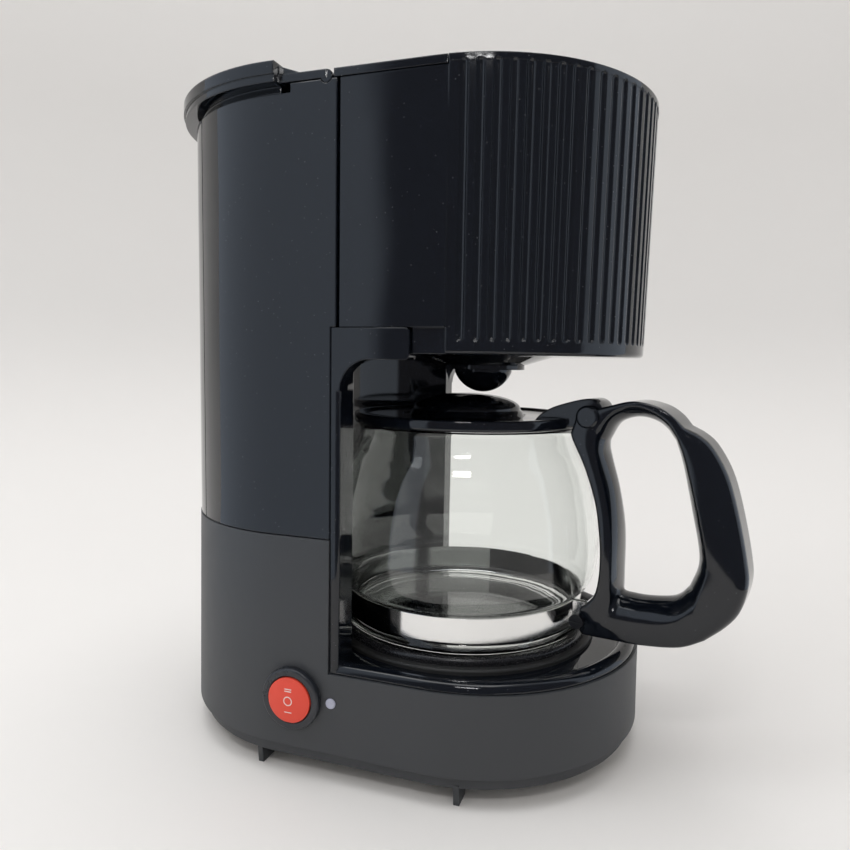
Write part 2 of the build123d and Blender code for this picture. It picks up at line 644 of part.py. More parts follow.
def basket_drawer():
    """Pull-out brew basket: fluted front drum, flat sides, deck for the cup and a dished floor."""
    front = drum_shell(0)
    front = fillet(front.edges().group_by(Axis.Z)[0].filter_by(GeomType.CIRCLE), 1.6)
    front += lathe([(0, TOP_Z - RIM_HEIGHT), (DRUM_RADIUS + 0.2, TOP_Z - RIM_HEIGHT),
                    (DRUM_RADIUS + 0.2, TOP_Z), (0, TOP_Z)]) & ahead(NOTCH_Y)
    front -= disc(DRUM_BORE, DRUM_Z + WALL, FAR) & ahead(NOTCH_Y + 1)
    flutes = int((90 - degrees(asin(-NOTCH_Y / DRUM_RADIUS))) / FLUTE_PITCH)
    for count in range(-flutes, flutes + 1):
        front -= flute(270 + count * FLUTE_PITCH)
    side_top = COVER_Z - PIECE_GAP
    sides = prism(basket_plan(PIECE_GAP, 0.8), WALL_LOW, side_top)
    sides -= prism(basket_plan(PIECE_GAP + DRUM_WALL, 0.5), 0, FAR)
    sides &= behind(NOTCH_Y)
    low_side = FRAME_SIDE - ARM_THICK - PIECE_GAP
    lower = prism(basket_plan(2.0, 4.0), DRUM_Z, WALL_LOW + 1)
    lower &= block(-FAR, FAR, NOTCH_Y, ARM_FRONT - PIECE_GAP, 0, FAR) + block(
        -low_side, low_side, NOTCH_Y, FAR, 0, FAR)
    lower -= prism(basket_plan(2.0 + DRUM_WALL, 3.0), DRUM_Z + WALL, FAR) & block(
        2 * WALL - low_side, low_side - 2 * WALL, NOTCH_Y - 1, FAR, 0, FAR)
    deck = prism(basket_plan(PIECE_GAP + DRUM_WALL / 2, 3.0), DECK_Z, CUP_FLANGE_Z)
    drawer = front + sides + lower + (deck & behind(-HALF)) - prism(cup_plan(-1.0), DECK_Z, FAR)
    drawer -= block(-EAR_X, EAR_X, DRAWER_REAR - 6, FAR, CUP_FLANGE_Z, FAR)
    cone = lathe([(0, CONE_LOW), (COLLAR_RADIUS + 1, CONE_LOW), (33, DRUM_Z + 1), (0, DRUM_Z + 1)], VALVE_Y)
    drawer += cone
    hollow = [(0, CONE_LOW + WALL), (COLLAR_RADIUS, CONE_LOW + WALL), (31, DRUM_Z + WALL), (0, DRUM_Z + WALL)]
    drawer -= lathe(hollow, VALVE_Y)
    return drawer - disc(COLLAR_CUP + WALL + PIECE_GAP, 0, DRUM_Z + WALL, 0, VALVE_Y)


CUP_INSET = 9.0
CUP_DRAFT = 6.0


def cup_plan(inset):
    return basket_plan(CUP_INSET + inset, 12.0)


def cup_body(inset, low, high):
    """The tapered inside or outside of the filter cup."""
    return loft([Pos(0, 0, low) * cup_plan(inset + CUP_DRAFT), Pos(0, 0, high) * cup_plan(inset)])


def filter_cup():
    """Drop-in cup with a flange on the drawer's deck and a sink to the drip stop."""
    cup = cup_body(0, CUP_FLOOR, CUP_FLANGE_Z) + prism(cup_plan(-3.5), CUP_FLANGE_Z, CUP_FLANGE_Z + CUP_WALL)
    cup -= cup_body(CUP_WALL, CUP_FLOOR + CUP_WALL, CUP_FLANGE_Z + CUP_WALL)
    sink = [(0, SINK_LOW), (10, SINK_LOW), (24, CUP_FLOOR + CUP_WALL / 2), (0, CUP_FLOOR + CUP_WALL / 2)]
    cup += lathe(sink, VALVE_Y)
    inner = [(0, SINK_LOW + CUP_WALL), (9, SINK_LOW + CUP_WALL), (24, CUP_FLOOR + CUP_WALL + 0.5),
             (0, CUP_FLOOR + CUP_WALL + 0.5)]
    cup -= lathe(inner, VALVE_Y)
    return cup - disc(STEM_RADIUS + 2, 0, CUP_FLOOR, 0, VALVE_Y)


def filter_mesh():
    """Permanent filter: a fine skin with a rim, hung in the cup."""
    low = CUP_FLOOR + CUP_WALL + 8.0
    rim = CUP_FLANGE_Z + CUP_WALL
    outer = cup_body(CUP_WALL + PIECE_GAP, low, rim) + prism(cup_plan(0.5), rim, rim + 1.2)
    return outer - cup_body(CUP_WALL + PIECE_GAP + MESH_WALL, low + MESH_WALL, rim + 1.2)


COLLAR_LOW = CONE_LOW - 2.1
ROOF_LOW = COLLAR_LOW + 5.6
KNOB_TOP = ROOF_LOW - VALVE_LIFT - 1.6
SEAT_Z = SINK_LOW + CUP_WALL


def valve_collar():
    """Fixed collar under the drawer: a flange, a guide cup for the knob and a bore for its stem."""
    outer = COLLAR_CUP + WALL
    bore = STEM_RADIUS + SLIDE_GAP
    flange_top = CONE_LOW - SLIDE_GAP
    profile = [(COLLAR_CUP, COLLAR_LOW), (COLLAR_RADIUS, COLLAR_LOW), (COLLAR_RADIUS, flange_top),
               (outer, flange_top), (outer, ROOF_LOW + 1.6), (bore, ROOF_LOW + 1.6), (bore, ROOF_LOW),
               (COLLAR_CUP, ROOF_LOW)]
    collar = lathe(profile, VALVE_Y)
    for hole in PolarLocations(10.5, 6):
        collar -= Pos(0, VALVE_Y, 0) * hole * disc(1.2, ROOF_LOW - 1, FAR)
    return collar


def valve_knob():
    """Domed knob that the jug's lid pushes up, with its stem through collar and cup."""
    rise = KNOB_TOP - TIP_Z
    side = 2.5
    dome_rise = rise - side
    dome = (KNOB_RADIUS ** 2 + dome_rise ** 2) / (2 * dome_rise)
    knob = Pos(0, VALVE_Y, TIP_Z + dome) * Sphere(dome)
    knob &= disc(KNOB_RADIUS, TIP_Z, TIP_Z + dome_rise, 0, VALVE_Y)
    knob += disc(KNOB_RADIUS, TIP_Z + dome_rise, KNOB_TOP, 0, VALVE_Y)
    return knob + disc(STEM_RADIUS, KNOB_TOP, SEAT_Z + 4.0, 0, VALVE_Y)


def valve_seal():
    """Rubber disc on the stem, closing the cup's outlet."""
    low = SEAT_Z + SLIDE_GAP
    return disc(7.5, low, low + 2.0, 0, VALVE_Y) - disc(STEM_RADIUS, 0, FAR, 0, VALVE_Y)


def valve_spring():
    """Coil that pushes the knob down from the collar's roof."""
    wire = 0.4
    height = ROOF_LOW - KNOB_TOP - 2 * wire - 0.1
    path = Helix(pitch=height / 2, height=height, radius=7.0)
    coil = sweep(Plane(origin=path @ 0, z_dir=path % 0) * Circle(wire), path=path)
    return Pos(0, VALVE_Y, KNOB_TOP + wire + 0.05) * coil


# ---- Jug
BASE_RADIUS = JUG_RADIUS - 5.1
WAIST_RADIUS = JUG_RADIUS - 7.1
NECK_RADIUS = JUG_RADIUS - 11.6
BAND_RADIUS = WAIST_RADIUS + 0.15
BAND_Z = JUG_Z + BAND_LOW
BULGE_Z = JUG_Z + 0.30 * JUG_HEIGHT
LID_RING = JUG_RADIUS - 9.2
LID_Z = JUG_Z + 0.868 * JUG_HEIGHT
RIM_Z = LID_Z - PIECE_GAP
DOME_RADIUS = 23.0
PIVOT_OUT = JUG_RADIUS - 0.2
PIVOT_Z = LID_Z + 5.9


def glass_profile(thick):
    """Half of the jug's section, outside for thick 0 and inside for the wall's thickness."""
    floor = JUG_Z + thick
    waist = WAIST_RADIUS - thick
    waist_top = BAND_Z + BAND_WIDTH
    side = Spline(
        (waist, waist_top), (JUG_RADIUS - thick, BULGE_Z),
        (JUG_RADIUS - 3.0 - thick, BULGE_Z + 0.30 * JUG_HEIGHT), (NECK_RADIUS - thick, RIM_Z),
        tangents=[(0.9, 1), (-0.25, 1)])
    foot_radius = BASE_RADIUS - 2.4 * thick
    low_side = Spline((foot_radius - 4, floor), (foot_radius, floor + 2.6), (waist, BAND_Z),
                      tangents=[(1, 0), (0, 1)])
    return [Line((0, floor), (foot_radius - 4, floor)), low_side, Line((waist, BAND_Z), (waist, waist_top)),
            side, Line((NECK_RADIUS - thick, RIM_Z), (0, RIM_Z)), Line((0, RIM_Z), (0, floor))]


def glass_body(thick):
    return Pos(0, JUG_Y, 0) * revolve(Plane.XZ * make_face(glass_profile(thick)), Axis.Z)


def handle_place():
    """Plane of the handle: x outwards from the jug's axis, y up."""
    angle = radians(HANDLE_ANGLE)
    outward = (-sin(angle), -cos(angle), 0)
    return Plane(origin=(0, JUG_Y, 0), x_dir=outward, z_dir=(-cos(angle), sin(angle), 0))


def spout(radius):
    """Leaning cylinder of the pouring lip, on the side away from the handle."""
    lean = Pos(0, NECK_RADIUS - 3.5, RIM_Z - 6) * Rot(-38, 0, 0) * Cylinder(radius, 40)
    turned = Pos(0, JUG_Y, 0) * Rot(0, 0, -HANDLE_ANGLE) * lean
    return turned & block(-FAR, FAR, 0, FAR, RIM_Z - 14, RIM_Z)


def jug_glass():
    """Blown glass jug: flat foot, waist for the band, wide bulge, neck and a pouring lip."""
    glass = glass_body(0) + spout(9.0)
    glass -= glass_body(GLASS) + spout(9.0 - GLASS)
    return glass - disc(NECK_RADIUS - GLASS, RIM_Z - 1, FAR, 0, JUG_Y)


BAND_EAR = 7.0


def in_handle(shape):
    """Places a shape drawn in the handle's plane: x outwards, y up, z across."""
    return handle_place() * shape


def jug_band():
    """Steel band round the waist, with two ears that run into the handle."""
    outer = BAND_RADIUS + BAND_THICK
    band = disc(outer, BAND_Z + 0.1, BAND_Z + BAND_WIDTH - 0.1, 0, JUG_Y)
    ears = Pos(outer + BAND_EAR / 2 - 0.2, BAND_Z + BAND_WIDTH / 2, 0) * Box(BAND_EAR, BAND_WIDTH - 0.2, 3.0)
    slit = Pos(outer + 4, BAND_Z + BAND_WIDTH / 2, 0) * Box(BAND_EAR + 12, BAND_WIDTH + 2, 2.0)
    hole = Pos(outer + 5.0, BAND_Z + BAND_WIDTH / 2, 0) * Cylinder(1.7, 10)
    return band + in_handle(ears) - in_handle(slit) - in_handle(hole) - disc(BAND_RADIUS, 0, FAR, 0, JUG_Y)


def at(reach, rise):
    """A point of the handle: beyond the jug's bulge, and up the jug by a share of its height."""
    return (JUG_RADIUS + reach, JUG_Z + rise * JUG_HEIGHT)


def handle_outline():
    grip = Spline(at(8, 0.975), at(16.5, 1.0), at(29.0, 0.965), at(39.0, 0.895), at(49.5, 0.74),
                  at(55.5, 0.52), at(58.8, 0.34), at(54.5, 0.215), at(46.0, 0.12), at(36.5, 0.07),
                  at(22.0, 0.048))
    leg = Spline(at(1.5, 0.17), at(6.0, 0.27), at(5.8, 0.455), at(3.5, 0.60), at(-1.5, 0.74),
                 at(-7.0, 0.85))
    top = Polyline(at(-7.0, 0.85), at(-5.0, 0.93), at(8, 0.975))
    foot_edge = Polyline(at(22.0, 0.048), at(0.5, 0.042), at(-1.0, 0.06), at(-1.0, 0.15), at(1.5, 0.17))
    return make_face([grip, leg, top, foot_edge])


def handle_opening():
    loop = Spline(at(5.5, 0.84), at(9.5, 0.905), at(18.5, 0.94), at(28.0, 0.905), at(33.2, 0.80),
                  at(38.6, 0.55), at(41.0, 0.39), at(38.0, 0.30), at(30.5, 0.235), at(20.0, 0.22))
    lower = Line(at(20.0, 0.22), at(15.0, 0.22))
    inner = Spline(at(12.5, 0.245), at(11.8, 0.45), at(9.6, 0.63), at(6.0, 0.76), at(5.5, 0.84))
    return make_face([loop, lower, Line(at(15.0, 0.22), at(12.5, 0.245)), inner])


PIVOT_BOSS = 4.3
BAND_SCREW = 1.5
SCREW_OUT = BAND_RADIUS + BAND_THICK + 5.0
SCREW_Z = BAND_Z + BAND_WIDTH / 2


def jug_handle():
    """Moulded handle: leg, arch, grip and the clamp block for the band, with ears for the lid's pin."""
    outline = handle_outline() - handle_opening()
    handle = Pos(0, 0, -HANDLE_WIDTH / 2) * extrude(outline, amount=HANDLE_WIDTH)
    pivot = Pos(PIVOT_OUT, PIVOT_Z, 0)
    handle += pivot * Cylinder(PIVOT_BOSS, HANDLE_WIDTH + 2)
    handle -= pivot * Cylinder(PIVOT_BOSS + 1.6, LEVER_WIDTH + 2 * PIECE_GAP)
    handle -= Pos(PIVOT_OUT - 12, PIVOT_Z + 1, 0) * Box(26, 13, LEVER_WIDTH + 2 * PIECE_GAP)
    handle -= pivot * Cylinder(LID_PIN, HANDLE_WIDTH + 4)
    handle -= Pos(SCREW_OUT, SCREW_Z, 0) * Cylinder(BAND_SCREW + SLIDE_GAP, HANDLE_WIDTH + 4)
    handle -= Pos(BAND_RADIUS + 4, SCREW_Z, 0) * Box(BAND_EAR * 2 + 3, BAND_WIDTH + 0.4, 3.4)
    handle = in_handle(handle)
    return handle - glass_keepout()


def glass_keepout():
    """The space of the lid's ring and of the glass with a little air, which the handle leaves free."""
    ring = disc(LID_RING + PIECE_GAP, LID_Z - PIECE_GAP, FAR, 0, JUG_Y)
    neck = disc(NECK_RADIUS + 1.2, LID_Z - 12, FAR, 0, JUG_Y)
    return ring + neck


def band_screw():
    """Screw across the clamp block and through the band's ears."""
    shank = Pos(SCREW_OUT, SCREW_Z, 0) * Cylinder(BAND_SCREW, HANDLE_WIDTH)
    head = Pos(SCREW_OUT, SCREW_Z, HANDLE_WIDTH / 2 + 0.8) * Cylinder(2.8, 1.6)
    slot = Pos(SCREW_OUT, SCREW_Z, HANDLE_WIDTH / 2 + 1.4) * Box(6, 0.8, 0.6)
    return in_handle(shank + head - slot)


def band_nut():
    low = -HANDLE_WIDTH / 2 - 2.0
    nut = Pos(SCREW_OUT, SCREW_Z, low) * extrude(RegularPolygon(3.1, 6), amount=2.0)
    return in_handle(nut - Pos(SCREW_OUT, SCREW_Z, low + 1) * Cylinder(BAND_SCREW + SLIDE_GAP, 6))


def jug_lid():
    """Lid with a ring on the glass, a plug inside the neck, a raised dome and a thumb lever."""
    ring_top = LID_Z + 4.4
    plug = NECK_RADIUS - GLASS - 0.5
    plug_low = LID_Z - PLUG_DEPTH
    profile = [(0, LID_Z + 1), (plug - 1.8, LID_Z + 1), (plug - 1.8, plug_low), (plug, plug_low),
               (plug, LID_Z), (LID_RING, LID_Z), (LID_RING, ring_top - 0.8), (LID_RING - 0.8, ring_top),
               (LID_RING - 3, ring_top), (LID_RING - 4, ring_top - 1.2), (0, ring_top - 1.2)]
    lid = lathe(profile, JUG_Y)
    dome_low = ring_top - 1.2
    rise = JUG_TOP - dome_low
    dome = (DOME_RADIUS ** 2 + rise ** 2) / (2 * rise)
    cap = (Pos(0, JUG_Y, JUG_TOP - dome) * Sphere(dome)) & disc(DOME_RADIUS, dome_low - 0.5, FAR, 0, JUG_Y)
    lid += cap
    under = DOME_RADIUS - 2
    lid -= lathe([(0, LID_Z), (under, LID_Z), (under, dome_low - 0.3), (0, JUG_TOP - 2.2)], JUG_Y)
    out = PIVOT_OUT
    thumb = (out - 3, JUG_TOP - 0.3)
    heel = (LID_RING - 12, ring_top)
    lever = make_face([
        Polyline(heel, (LID_RING - 8, ring_top - 2), (LID_RING + 2, ring_top - 3.2), (out, PIVOT_Z - 4.2)),
        ThreePointArc((out, PIVOT_Z - 4.2), (out + 4.2, PIVOT_Z), (out + 1.5, PIVOT_Z + 3.9)),
        Polyline((out + 1.5, PIVOT_Z + 3.9), (out + 0.5, JUG_TOP - 1), thumb),
        ThreePointArc(thumb, (out - 14, JUG_TOP - 3.2), heel),
    ])
    lever = extrude(lever, amount=LEVER_WIDTH / 2, both=True)
    lid += in_handle(lever)
    return lid - in_handle(Pos(PIVOT_OUT, PIVOT_Z, 0) * Cylinder(LID_PIN + SLIDE_GAP, HANDLE_WIDTH))


def lid_pivot_pin():
    return in_handle(Pos(PIVOT_OUT, PIVOT_Z, 0) * Cylinder(LID_PIN - 0.02, HANDLE_WIDTH + 1.2))


# ---- Switch, lamp and cord gland
ROCKER_X = SWITCH_FACE - 1.1
BEZEL_THICK = 2.6


def switch_body():
    """Round snap-in rocker switch: flange, barrel and back."""
    body = rod_x(BEZEL_RADIUS, SWITCH_FACE - BEZEL_THICK, SWITCH_FACE, SWITCH_Y, SWITCH_Z)
    body = fillet(body.edges().sort_by(Axis.X)[0], 0.9)
    body += rod_x(SWITCH_BODY, SWITCH_FACE, SWITCH_FACE + SWITCH_DEPTH, SWITCH_Y, SWITCH_Z)
    body -= rod_x(ROCKER_RADIUS + 0.4, -FAR, SWITCH_FACE + 10, SWITCH_Y, SWITCH_Z)
    return body - rod_y(1.0 + SLIDE_GAP, SWITCH_Y - 10.6, SWITCH_Y + 10.6, ROCKER_X, SWITCH_Z)


def switch_rocker():
    """Round actuator whose edges are struck from its pivot, so that it rocks in the bezel."""
    rocker = rod_x(ROCKER_RADIUS, ROCKER_X - 4.4, ROCKER_X + 2.6, SWITCH_Y, SWITCH_Z)
    rocker &= rod_y(ROCKER_RADIUS + 0.1, SWITCH_Y - 12, SWITCH_Y + 12, ROCKER_X, SWITCH_Z)
    crown = 48.0
    face = ROCKER_X - 2.8
    rocker &= Pos(face + crown, SWITCH_Y, SWITCH_Z) * Sphere(crown)
    return rocker + rod_y(1.0, SWITCH_Y - 10.4, SWITCH_Y + 10.4, ROCKER_X, SWITCH_Z)


def switch_terminals():
    back = SWITCH_FACE + SWITCH_DEPTH
    tabs = [block(back, back + 8, SWITCH_Y - 2.4, SWITCH_Y + 2.4, SWITCH_Z + up - 0.4, SWITCH_Z + up + 0.4)
            for up in (-5.5, 0.0, 5.5)]
    return Part() + tabs


def indicator_lens():
    face = -half_width(SWITCH_Z)
    lens = rod_x(LENS_RADIUS, face - 0.7, face + 4, LENS_Y, SWITCH_Z)
    lens = fillet(lens.edges().sort_by(Axis.X)[0], 0.65)
    return lens + rod_x(LENS_RADIUS + 1, face + WALL + 0.4, face + 4, LENS_Y, SWITCH_Z)


def indicator_lamp():
    back = -half_width(SWITCH_Z) + 4
    return rod_x(2.4, back, back + 9, LENS_Y, SWITCH_Z) + rod_x(1.0, back + 9, back + 13, LENS_Y, SWITCH_Z)


def cord_gland():
    """Bushing in the rear wall that a mains lead would pass through."""
    gland = rod_y(GLAND_RADIUS + 3, GLAND_FACE + SLIDE_GAP, GLAND_FACE + 2.2, 0, GLAND_Z)
    gland = fillet(gland.edges().sort_by(Axis.Y)[-1], 0.8)
    gland += rod_y(GLAND_RADIUS, GLAND_FACE - 8, GLAND_FACE + 1, 0, GLAND_Z)
    gland += rod_y(GLAND_RADIUS + 1.5, GLAND_FACE - 8, GLAND_FACE - 4, 0, GLAND_Z)
    return gland - rod_y(GLAND_BORE, GLAND_FACE - 20, FAR, 0, GLAND_Z)


PIECES = [
    base_shell, base_cover, base_screws, body_frame, hot_plate, plate_seal, boiler_tube, heating_element,
    heater_clamp, clamp_nut, thermostat, thermal_fuse, check_valve_body, check_ball, cold_water_hose,
    hot_water_riser, hose_clips, tank_grommet, tank_shell, water_tank, brew_head_cover, tank_lid,
    lid_hinge_pins, spray_head, basket_drawer, filter_cup, filter_mesh, valve_collar, valve_knob,
    valve_seal, valve_spring, jug_glass, jug_band, jug_handle, band_screw, band_nut, jug_lid,
    lid_pivot_pin, switch_body, switch_rocker, switch_terminals, indicator_lens, indicator_lamp, cord_gland,
]


def main():
    """Builds every piece and writes it about the middle of the whole machine's footprint."""
    shapes = {piece.__name__: piece() for piece in PIECES}
    boxes = [shape.bounding_box() for shape in shapes.values()]
    middle_x = (min(box.min.X for box in boxes) + max(box.max.X for box in boxes)) / 2
    middle_y = (min(box.min.Y for box in boxes) + max(box.max.Y for box in boxes)) / 2
    centre = Pos(-middle_x, -middle_y, 0)
    os.makedirs("parts", exist_ok=True)
    for name, shape in shapes.items():
        export_step(centre * shape, f"parts/{name}.step")
    print(f"origin lies at x {middle_x:.3f}, y {middle_y:.3f} of the round front's axis")


main()
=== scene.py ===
import json
import math

import bmesh
import bpy
from mathutils import Matrix, Vector


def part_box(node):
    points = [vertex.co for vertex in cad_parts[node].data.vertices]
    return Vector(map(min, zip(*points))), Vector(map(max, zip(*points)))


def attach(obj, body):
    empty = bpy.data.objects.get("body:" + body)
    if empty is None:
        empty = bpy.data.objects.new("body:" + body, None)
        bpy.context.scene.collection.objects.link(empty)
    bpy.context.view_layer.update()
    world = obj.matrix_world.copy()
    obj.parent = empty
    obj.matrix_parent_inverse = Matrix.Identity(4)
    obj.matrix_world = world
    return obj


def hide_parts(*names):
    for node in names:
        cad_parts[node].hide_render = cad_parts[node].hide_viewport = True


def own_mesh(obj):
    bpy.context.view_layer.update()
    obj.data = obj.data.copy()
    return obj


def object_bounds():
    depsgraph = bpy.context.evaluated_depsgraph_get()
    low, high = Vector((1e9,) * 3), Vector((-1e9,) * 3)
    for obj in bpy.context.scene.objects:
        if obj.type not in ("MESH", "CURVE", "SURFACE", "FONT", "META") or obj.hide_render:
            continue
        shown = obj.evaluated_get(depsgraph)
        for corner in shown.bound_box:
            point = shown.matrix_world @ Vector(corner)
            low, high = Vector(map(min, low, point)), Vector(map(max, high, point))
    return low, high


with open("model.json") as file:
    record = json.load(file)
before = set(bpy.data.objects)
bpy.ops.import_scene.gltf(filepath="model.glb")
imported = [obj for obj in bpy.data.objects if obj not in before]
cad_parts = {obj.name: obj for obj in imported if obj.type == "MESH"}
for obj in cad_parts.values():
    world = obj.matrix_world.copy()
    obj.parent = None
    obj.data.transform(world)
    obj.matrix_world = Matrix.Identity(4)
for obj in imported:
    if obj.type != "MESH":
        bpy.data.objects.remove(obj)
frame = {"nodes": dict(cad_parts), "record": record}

# %% [markdown]
# The machine stands on the ground at z = 0, in metres, with its rear towards +Y and the jug's
# handle towards -Y. Each place below is read from the imported frame, so nothing needs fitting.
# The box of the whole frame is kept now.

# %% Places read from the frame
MM = 0.001
frame_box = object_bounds()
low, high = frame_box
drum_low, drum_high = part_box("basket_drawer")
band_low, band_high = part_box("jug_band")
glass_low, glass_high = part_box("jug_glass")
rocker_low, rocker_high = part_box("switch_rocker")
jug_axis = Vector(((band_low.x + band_high.x) / 2, band_high.y - (band_high.x - band_low.x) / 2, 0))
print("whole machine", [round(v / MM, 1) for v in high - low], "mm; jug axis", jug_axis / MM)

# %% [markdown]
# Product shots like this one are taken close, from a little above the hot plate, which makes the
# near side look tall and lets the verticals spread. The camera stands to the left of the jug,
# about 30 cm from the machine's middle, with a wide lens.

# %% Camera
CAMERA_PLACE = Vector((-295.6, -87.4, 158.5)) * MM
CAMERA_HEADING = -71.1
CAMERA_PITCH = -5.24
CAMERA_ROLL = 0.96
camera_data = bpy.data.cameras.new("camera")
camera_data.lens = 29.87
camera_data.sensor_width = 36.0
camera_data.clip_start = 0.01
camera = bpy.data.objects.new("camera", camera_data)
bpy.context.scene.collection.objects.link(camera)
turn = Matrix.Rotation(math.radians(CAMERA_HEADING), 4, "Z")
turn @= Matrix.Rotation(math.radians(90 + CAMERA_PITCH), 4, "X")
turn @= Matrix.Rotation(math.radians(CAMERA_ROLL), 4, "Z")
camera.matrix_world = Matrix.Translation(CAMERA_PLACE) @ turn
bpy.context.scene.camera = camera
bpy.context.scene.view_settings.view_transform = "Standard"
print("camera", round((CAMERA_PLACE - (low + high) / 2).length / MM), "mm from the machine's middle")


# %% [markdown]
# Most of this machine's looks come from its finishes, and each finish is a small node tree. A
# formula reads best as a formula, so this class wraps a node's output and turns plus, minus,
# times and the like into Math nodes. Everything that isn't a formula goes through one method.

# %% Shader sockets with arithmetic
class Value:
    """One output socket that can be used in a formula."""

    def __init__(self, tree, socket):
        self.tree = tree
        self.socket = socket

    def math(self, operation, *operands):
        node = self.tree.nodes.new("ShaderNodeMath")
        node.operation = operation
        for slot, operand in zip(node.inputs, operands):
            if isinstance(operand, Value):
                self.tree.links.new(operand.socket, slot)
            else:
                slot.default_value = operand
        return Value(self.tree, node.outputs[0])

    def __add__(self, other):
        return self.math("ADD", self, other)

    def __radd__(self, other):
        return self.math("ADD", other, self)

    def __sub__(self, other):
        return self.math("SUBTRACT", self, other)

    def __rsub__(self, other):
        return self.math("SUBTRACT", other, self)

    def __mul__(self, other):
        return self.math("MULTIPLY", self, other)

    def __rmul__(self, other):
        return self.math("MULTIPLY", other, self)

    def __truediv__(self, other):
        return self.math("DIVIDE", self, other)

    def __abs__(self):
        return self.math("ABSOLUTE", self)

    def below(self, other):
        """1 where this value is the smaller one, else 0."""
        return self.math("LESS_THAN", self, other)

    def above(self, other):
        return self.math("GREATER_THAN", self, other)

    def either(self, other):
        return self.math("MAXIMUM", self, other)

    def root(self):
        return self.math("SQRT", self)


class Finish:
    """A material on one Principled surface, with constants set on the surface's own sockets."""

    def __init__(self, name, **constants):
        self.material = bpy.data.materials.new(name)
        self.material.use_nodes = True
        self.tree = self.material.node_tree
        self.surface = self.tree.nodes["Principled BSDF"]
        for key, value in constants.items():
            self.surface.inputs[key.replace("_", " ")].default_value = value

    def node(self, kind, settings=None, output=0, **inputs):
        """Any node: its settings first, then its sockets by name, with spaces as underlines."""
        node = self.tree.nodes.new("ShaderNode" + kind)
        for key, value in (settings or {}).items():
            if key == "stops":
                for element, (place, shade) in zip(node.color_ramp.elements, value):
                    element.position = place
                    element.color = shade
            else:
                setattr(node, key, value)
        for key, value in inputs.items():
            slot = node.inputs[int(key[1:])] if key[1:].isdigit() else node.inputs[key.replace("_", " ")]
            if isinstance(value, Value):
                self.tree.links.new(value.socket, slot)
            else:
                slot.default_value = value
        return Value(self.tree, node.outputs[output])

    def place(self):
        """The point on the piece, in metres in the machine's frame."""
        return self.node("TexCoord", output=3)

    def noise(self, scale, detail=2.0, roughness=0.5, at=None):
        return self.node("TexNoise", Vector=at or self.place(), Scale=scale, Detail=detail,
                         Roughness=roughness)

    def blend(self, factor, first, second):
        """Mixes two colours by a factor of 0 to 1."""
        return self.node("Mix", {"data_type": "RGBA"}, 2, i0=factor, i6=first, i7=second)

    def between(self, value, low_end, high_end):
        """Spreads a 0 to 1 value over a range."""
        return value * (high_end - low_end) + low_end

    def bump(self, height, distance, strength=1.0, over=None):
        inputs = {"Height": height, "Distance": distance, "Strength": strength}
        if over:
            inputs["Normal"] = over
        return self.node("Bump", **inputs)

    def feed(self, **links):
        for key, value in links.items():
            self.tree.links.new(value.socket, self.surface.inputs[key.replace("_", " ")])
        return self.material


finishes = {}

# %% [markdown]
# The base is moulded in a spark-eroded tool, which leaves a fine, even grain that scatters
# light and turns deep black into a soft charcoal. Two noises do that: a fine one for the grain
# and a broad, faint one for the uneven sheen of a handled surface. Moulded edges are never
# knife sharp, so a Bevel node rounds their shading by a few tenths of a millimetre.

# %% Satin charcoal moulding
def satin_moulding(name, colour, rough=0.5, grain=2600.0, depth=0.00003, edge=0.0006):
    finish = Finish(name, Specular_IOR_Level=0.5)
    rounded = finish.node("Bevel", {"samples": 6}, Radius=edge)
    fine = finish.noise(grain, 3.0, 0.6)
    broad = finish.noise(18.0, 3.0)
    worn = finish.noise(140.0, 4.0, 0.7)
    pale = tuple(min(1.0, c * 1.25) for c in colour[:3]) + (1.0,)
    shade = finish.blend(finish.between(broad, 0.2, 0.8), colour, pale)
    roughness = finish.between(broad, rough - 0.06, rough + 0.06) + worn * 0.06 - 0.03
    normal = finish.bump(fine, depth, 1.0, rounded)
    return finish.feed(Base_Color=shade, Roughness=roughness, Normal=normal)


finishes["matte_shell"] = satin_moulding("satin_base_moulding", (0.0305, 0.033, 0.037, 1))
finishes["switch_bezel"] = satin_moulding("switch_flange_moulding", (0.016, 0.018, 0.023, 1), 0.28)
finishes["tank_plastic"] = satin_moulding("inner_moulding", (0.02, 0.02, 0.022, 1), 0.42, 1200.0)
finishes["lamp_lens"] = satin_moulding("milky_lamp_lens", (0.34, 0.35, 0.43, 1), 0.22, 900.0, 0.00001)
finishes["natural_plastic"] = satin_moulding("natural_moulding", (0.62, 0.6, 0.54, 1), 0.45, 1200.0)
print("satin finishes:", len(finishes))

# %% [markdown]
# The column, head, drum, jug handle and lids are polished black. A thin moulded wall is never
# quite flat: it sinks a little over the ribs behind it, and its reflections wander. A very low
# bump of a few centimetres' wavelength does that, and a second, finer one gives the faint
# orange peel. Roughness changes where fingers have been, and a few specks of dust sit on top.

# %% Polished black moulding
def polished_moulding(name, colour, warp=0.0018, rough=0.05, edge=0.0007):
    finish = Finish(name, Specular_IOR_Level=0.5, IOR=1.5)
    rounded = finish.node("Bevel", {"samples": 6}, Radius=edge)
    sink = finish.noise(13.0, 1.0)
    peel = finish.noise(320.0, 2.0)
    smudge = finish.noise(55.0, 4.0, 0.65)
    dust = finish.node("TexVoronoi", {"feature": "F1"}, Vector=finish.place(), Scale=420.0)
    specks = dust.below(0.055)
    shade = finish.blend(specks * 0.35, colour, (0.32, 0.32, 0.33, 1))
    roughness = finish.between(smudge, rough - 0.03, rough + 0.05) + specks * 0.4
    wavy = finish.bump(sink, warp, 1.0, rounded)
    normal = finish.bump(peel, 0.000004, 1.0, wavy)
    return finish.feed(Base_Color=shade, Roughness=roughness, Normal=normal)


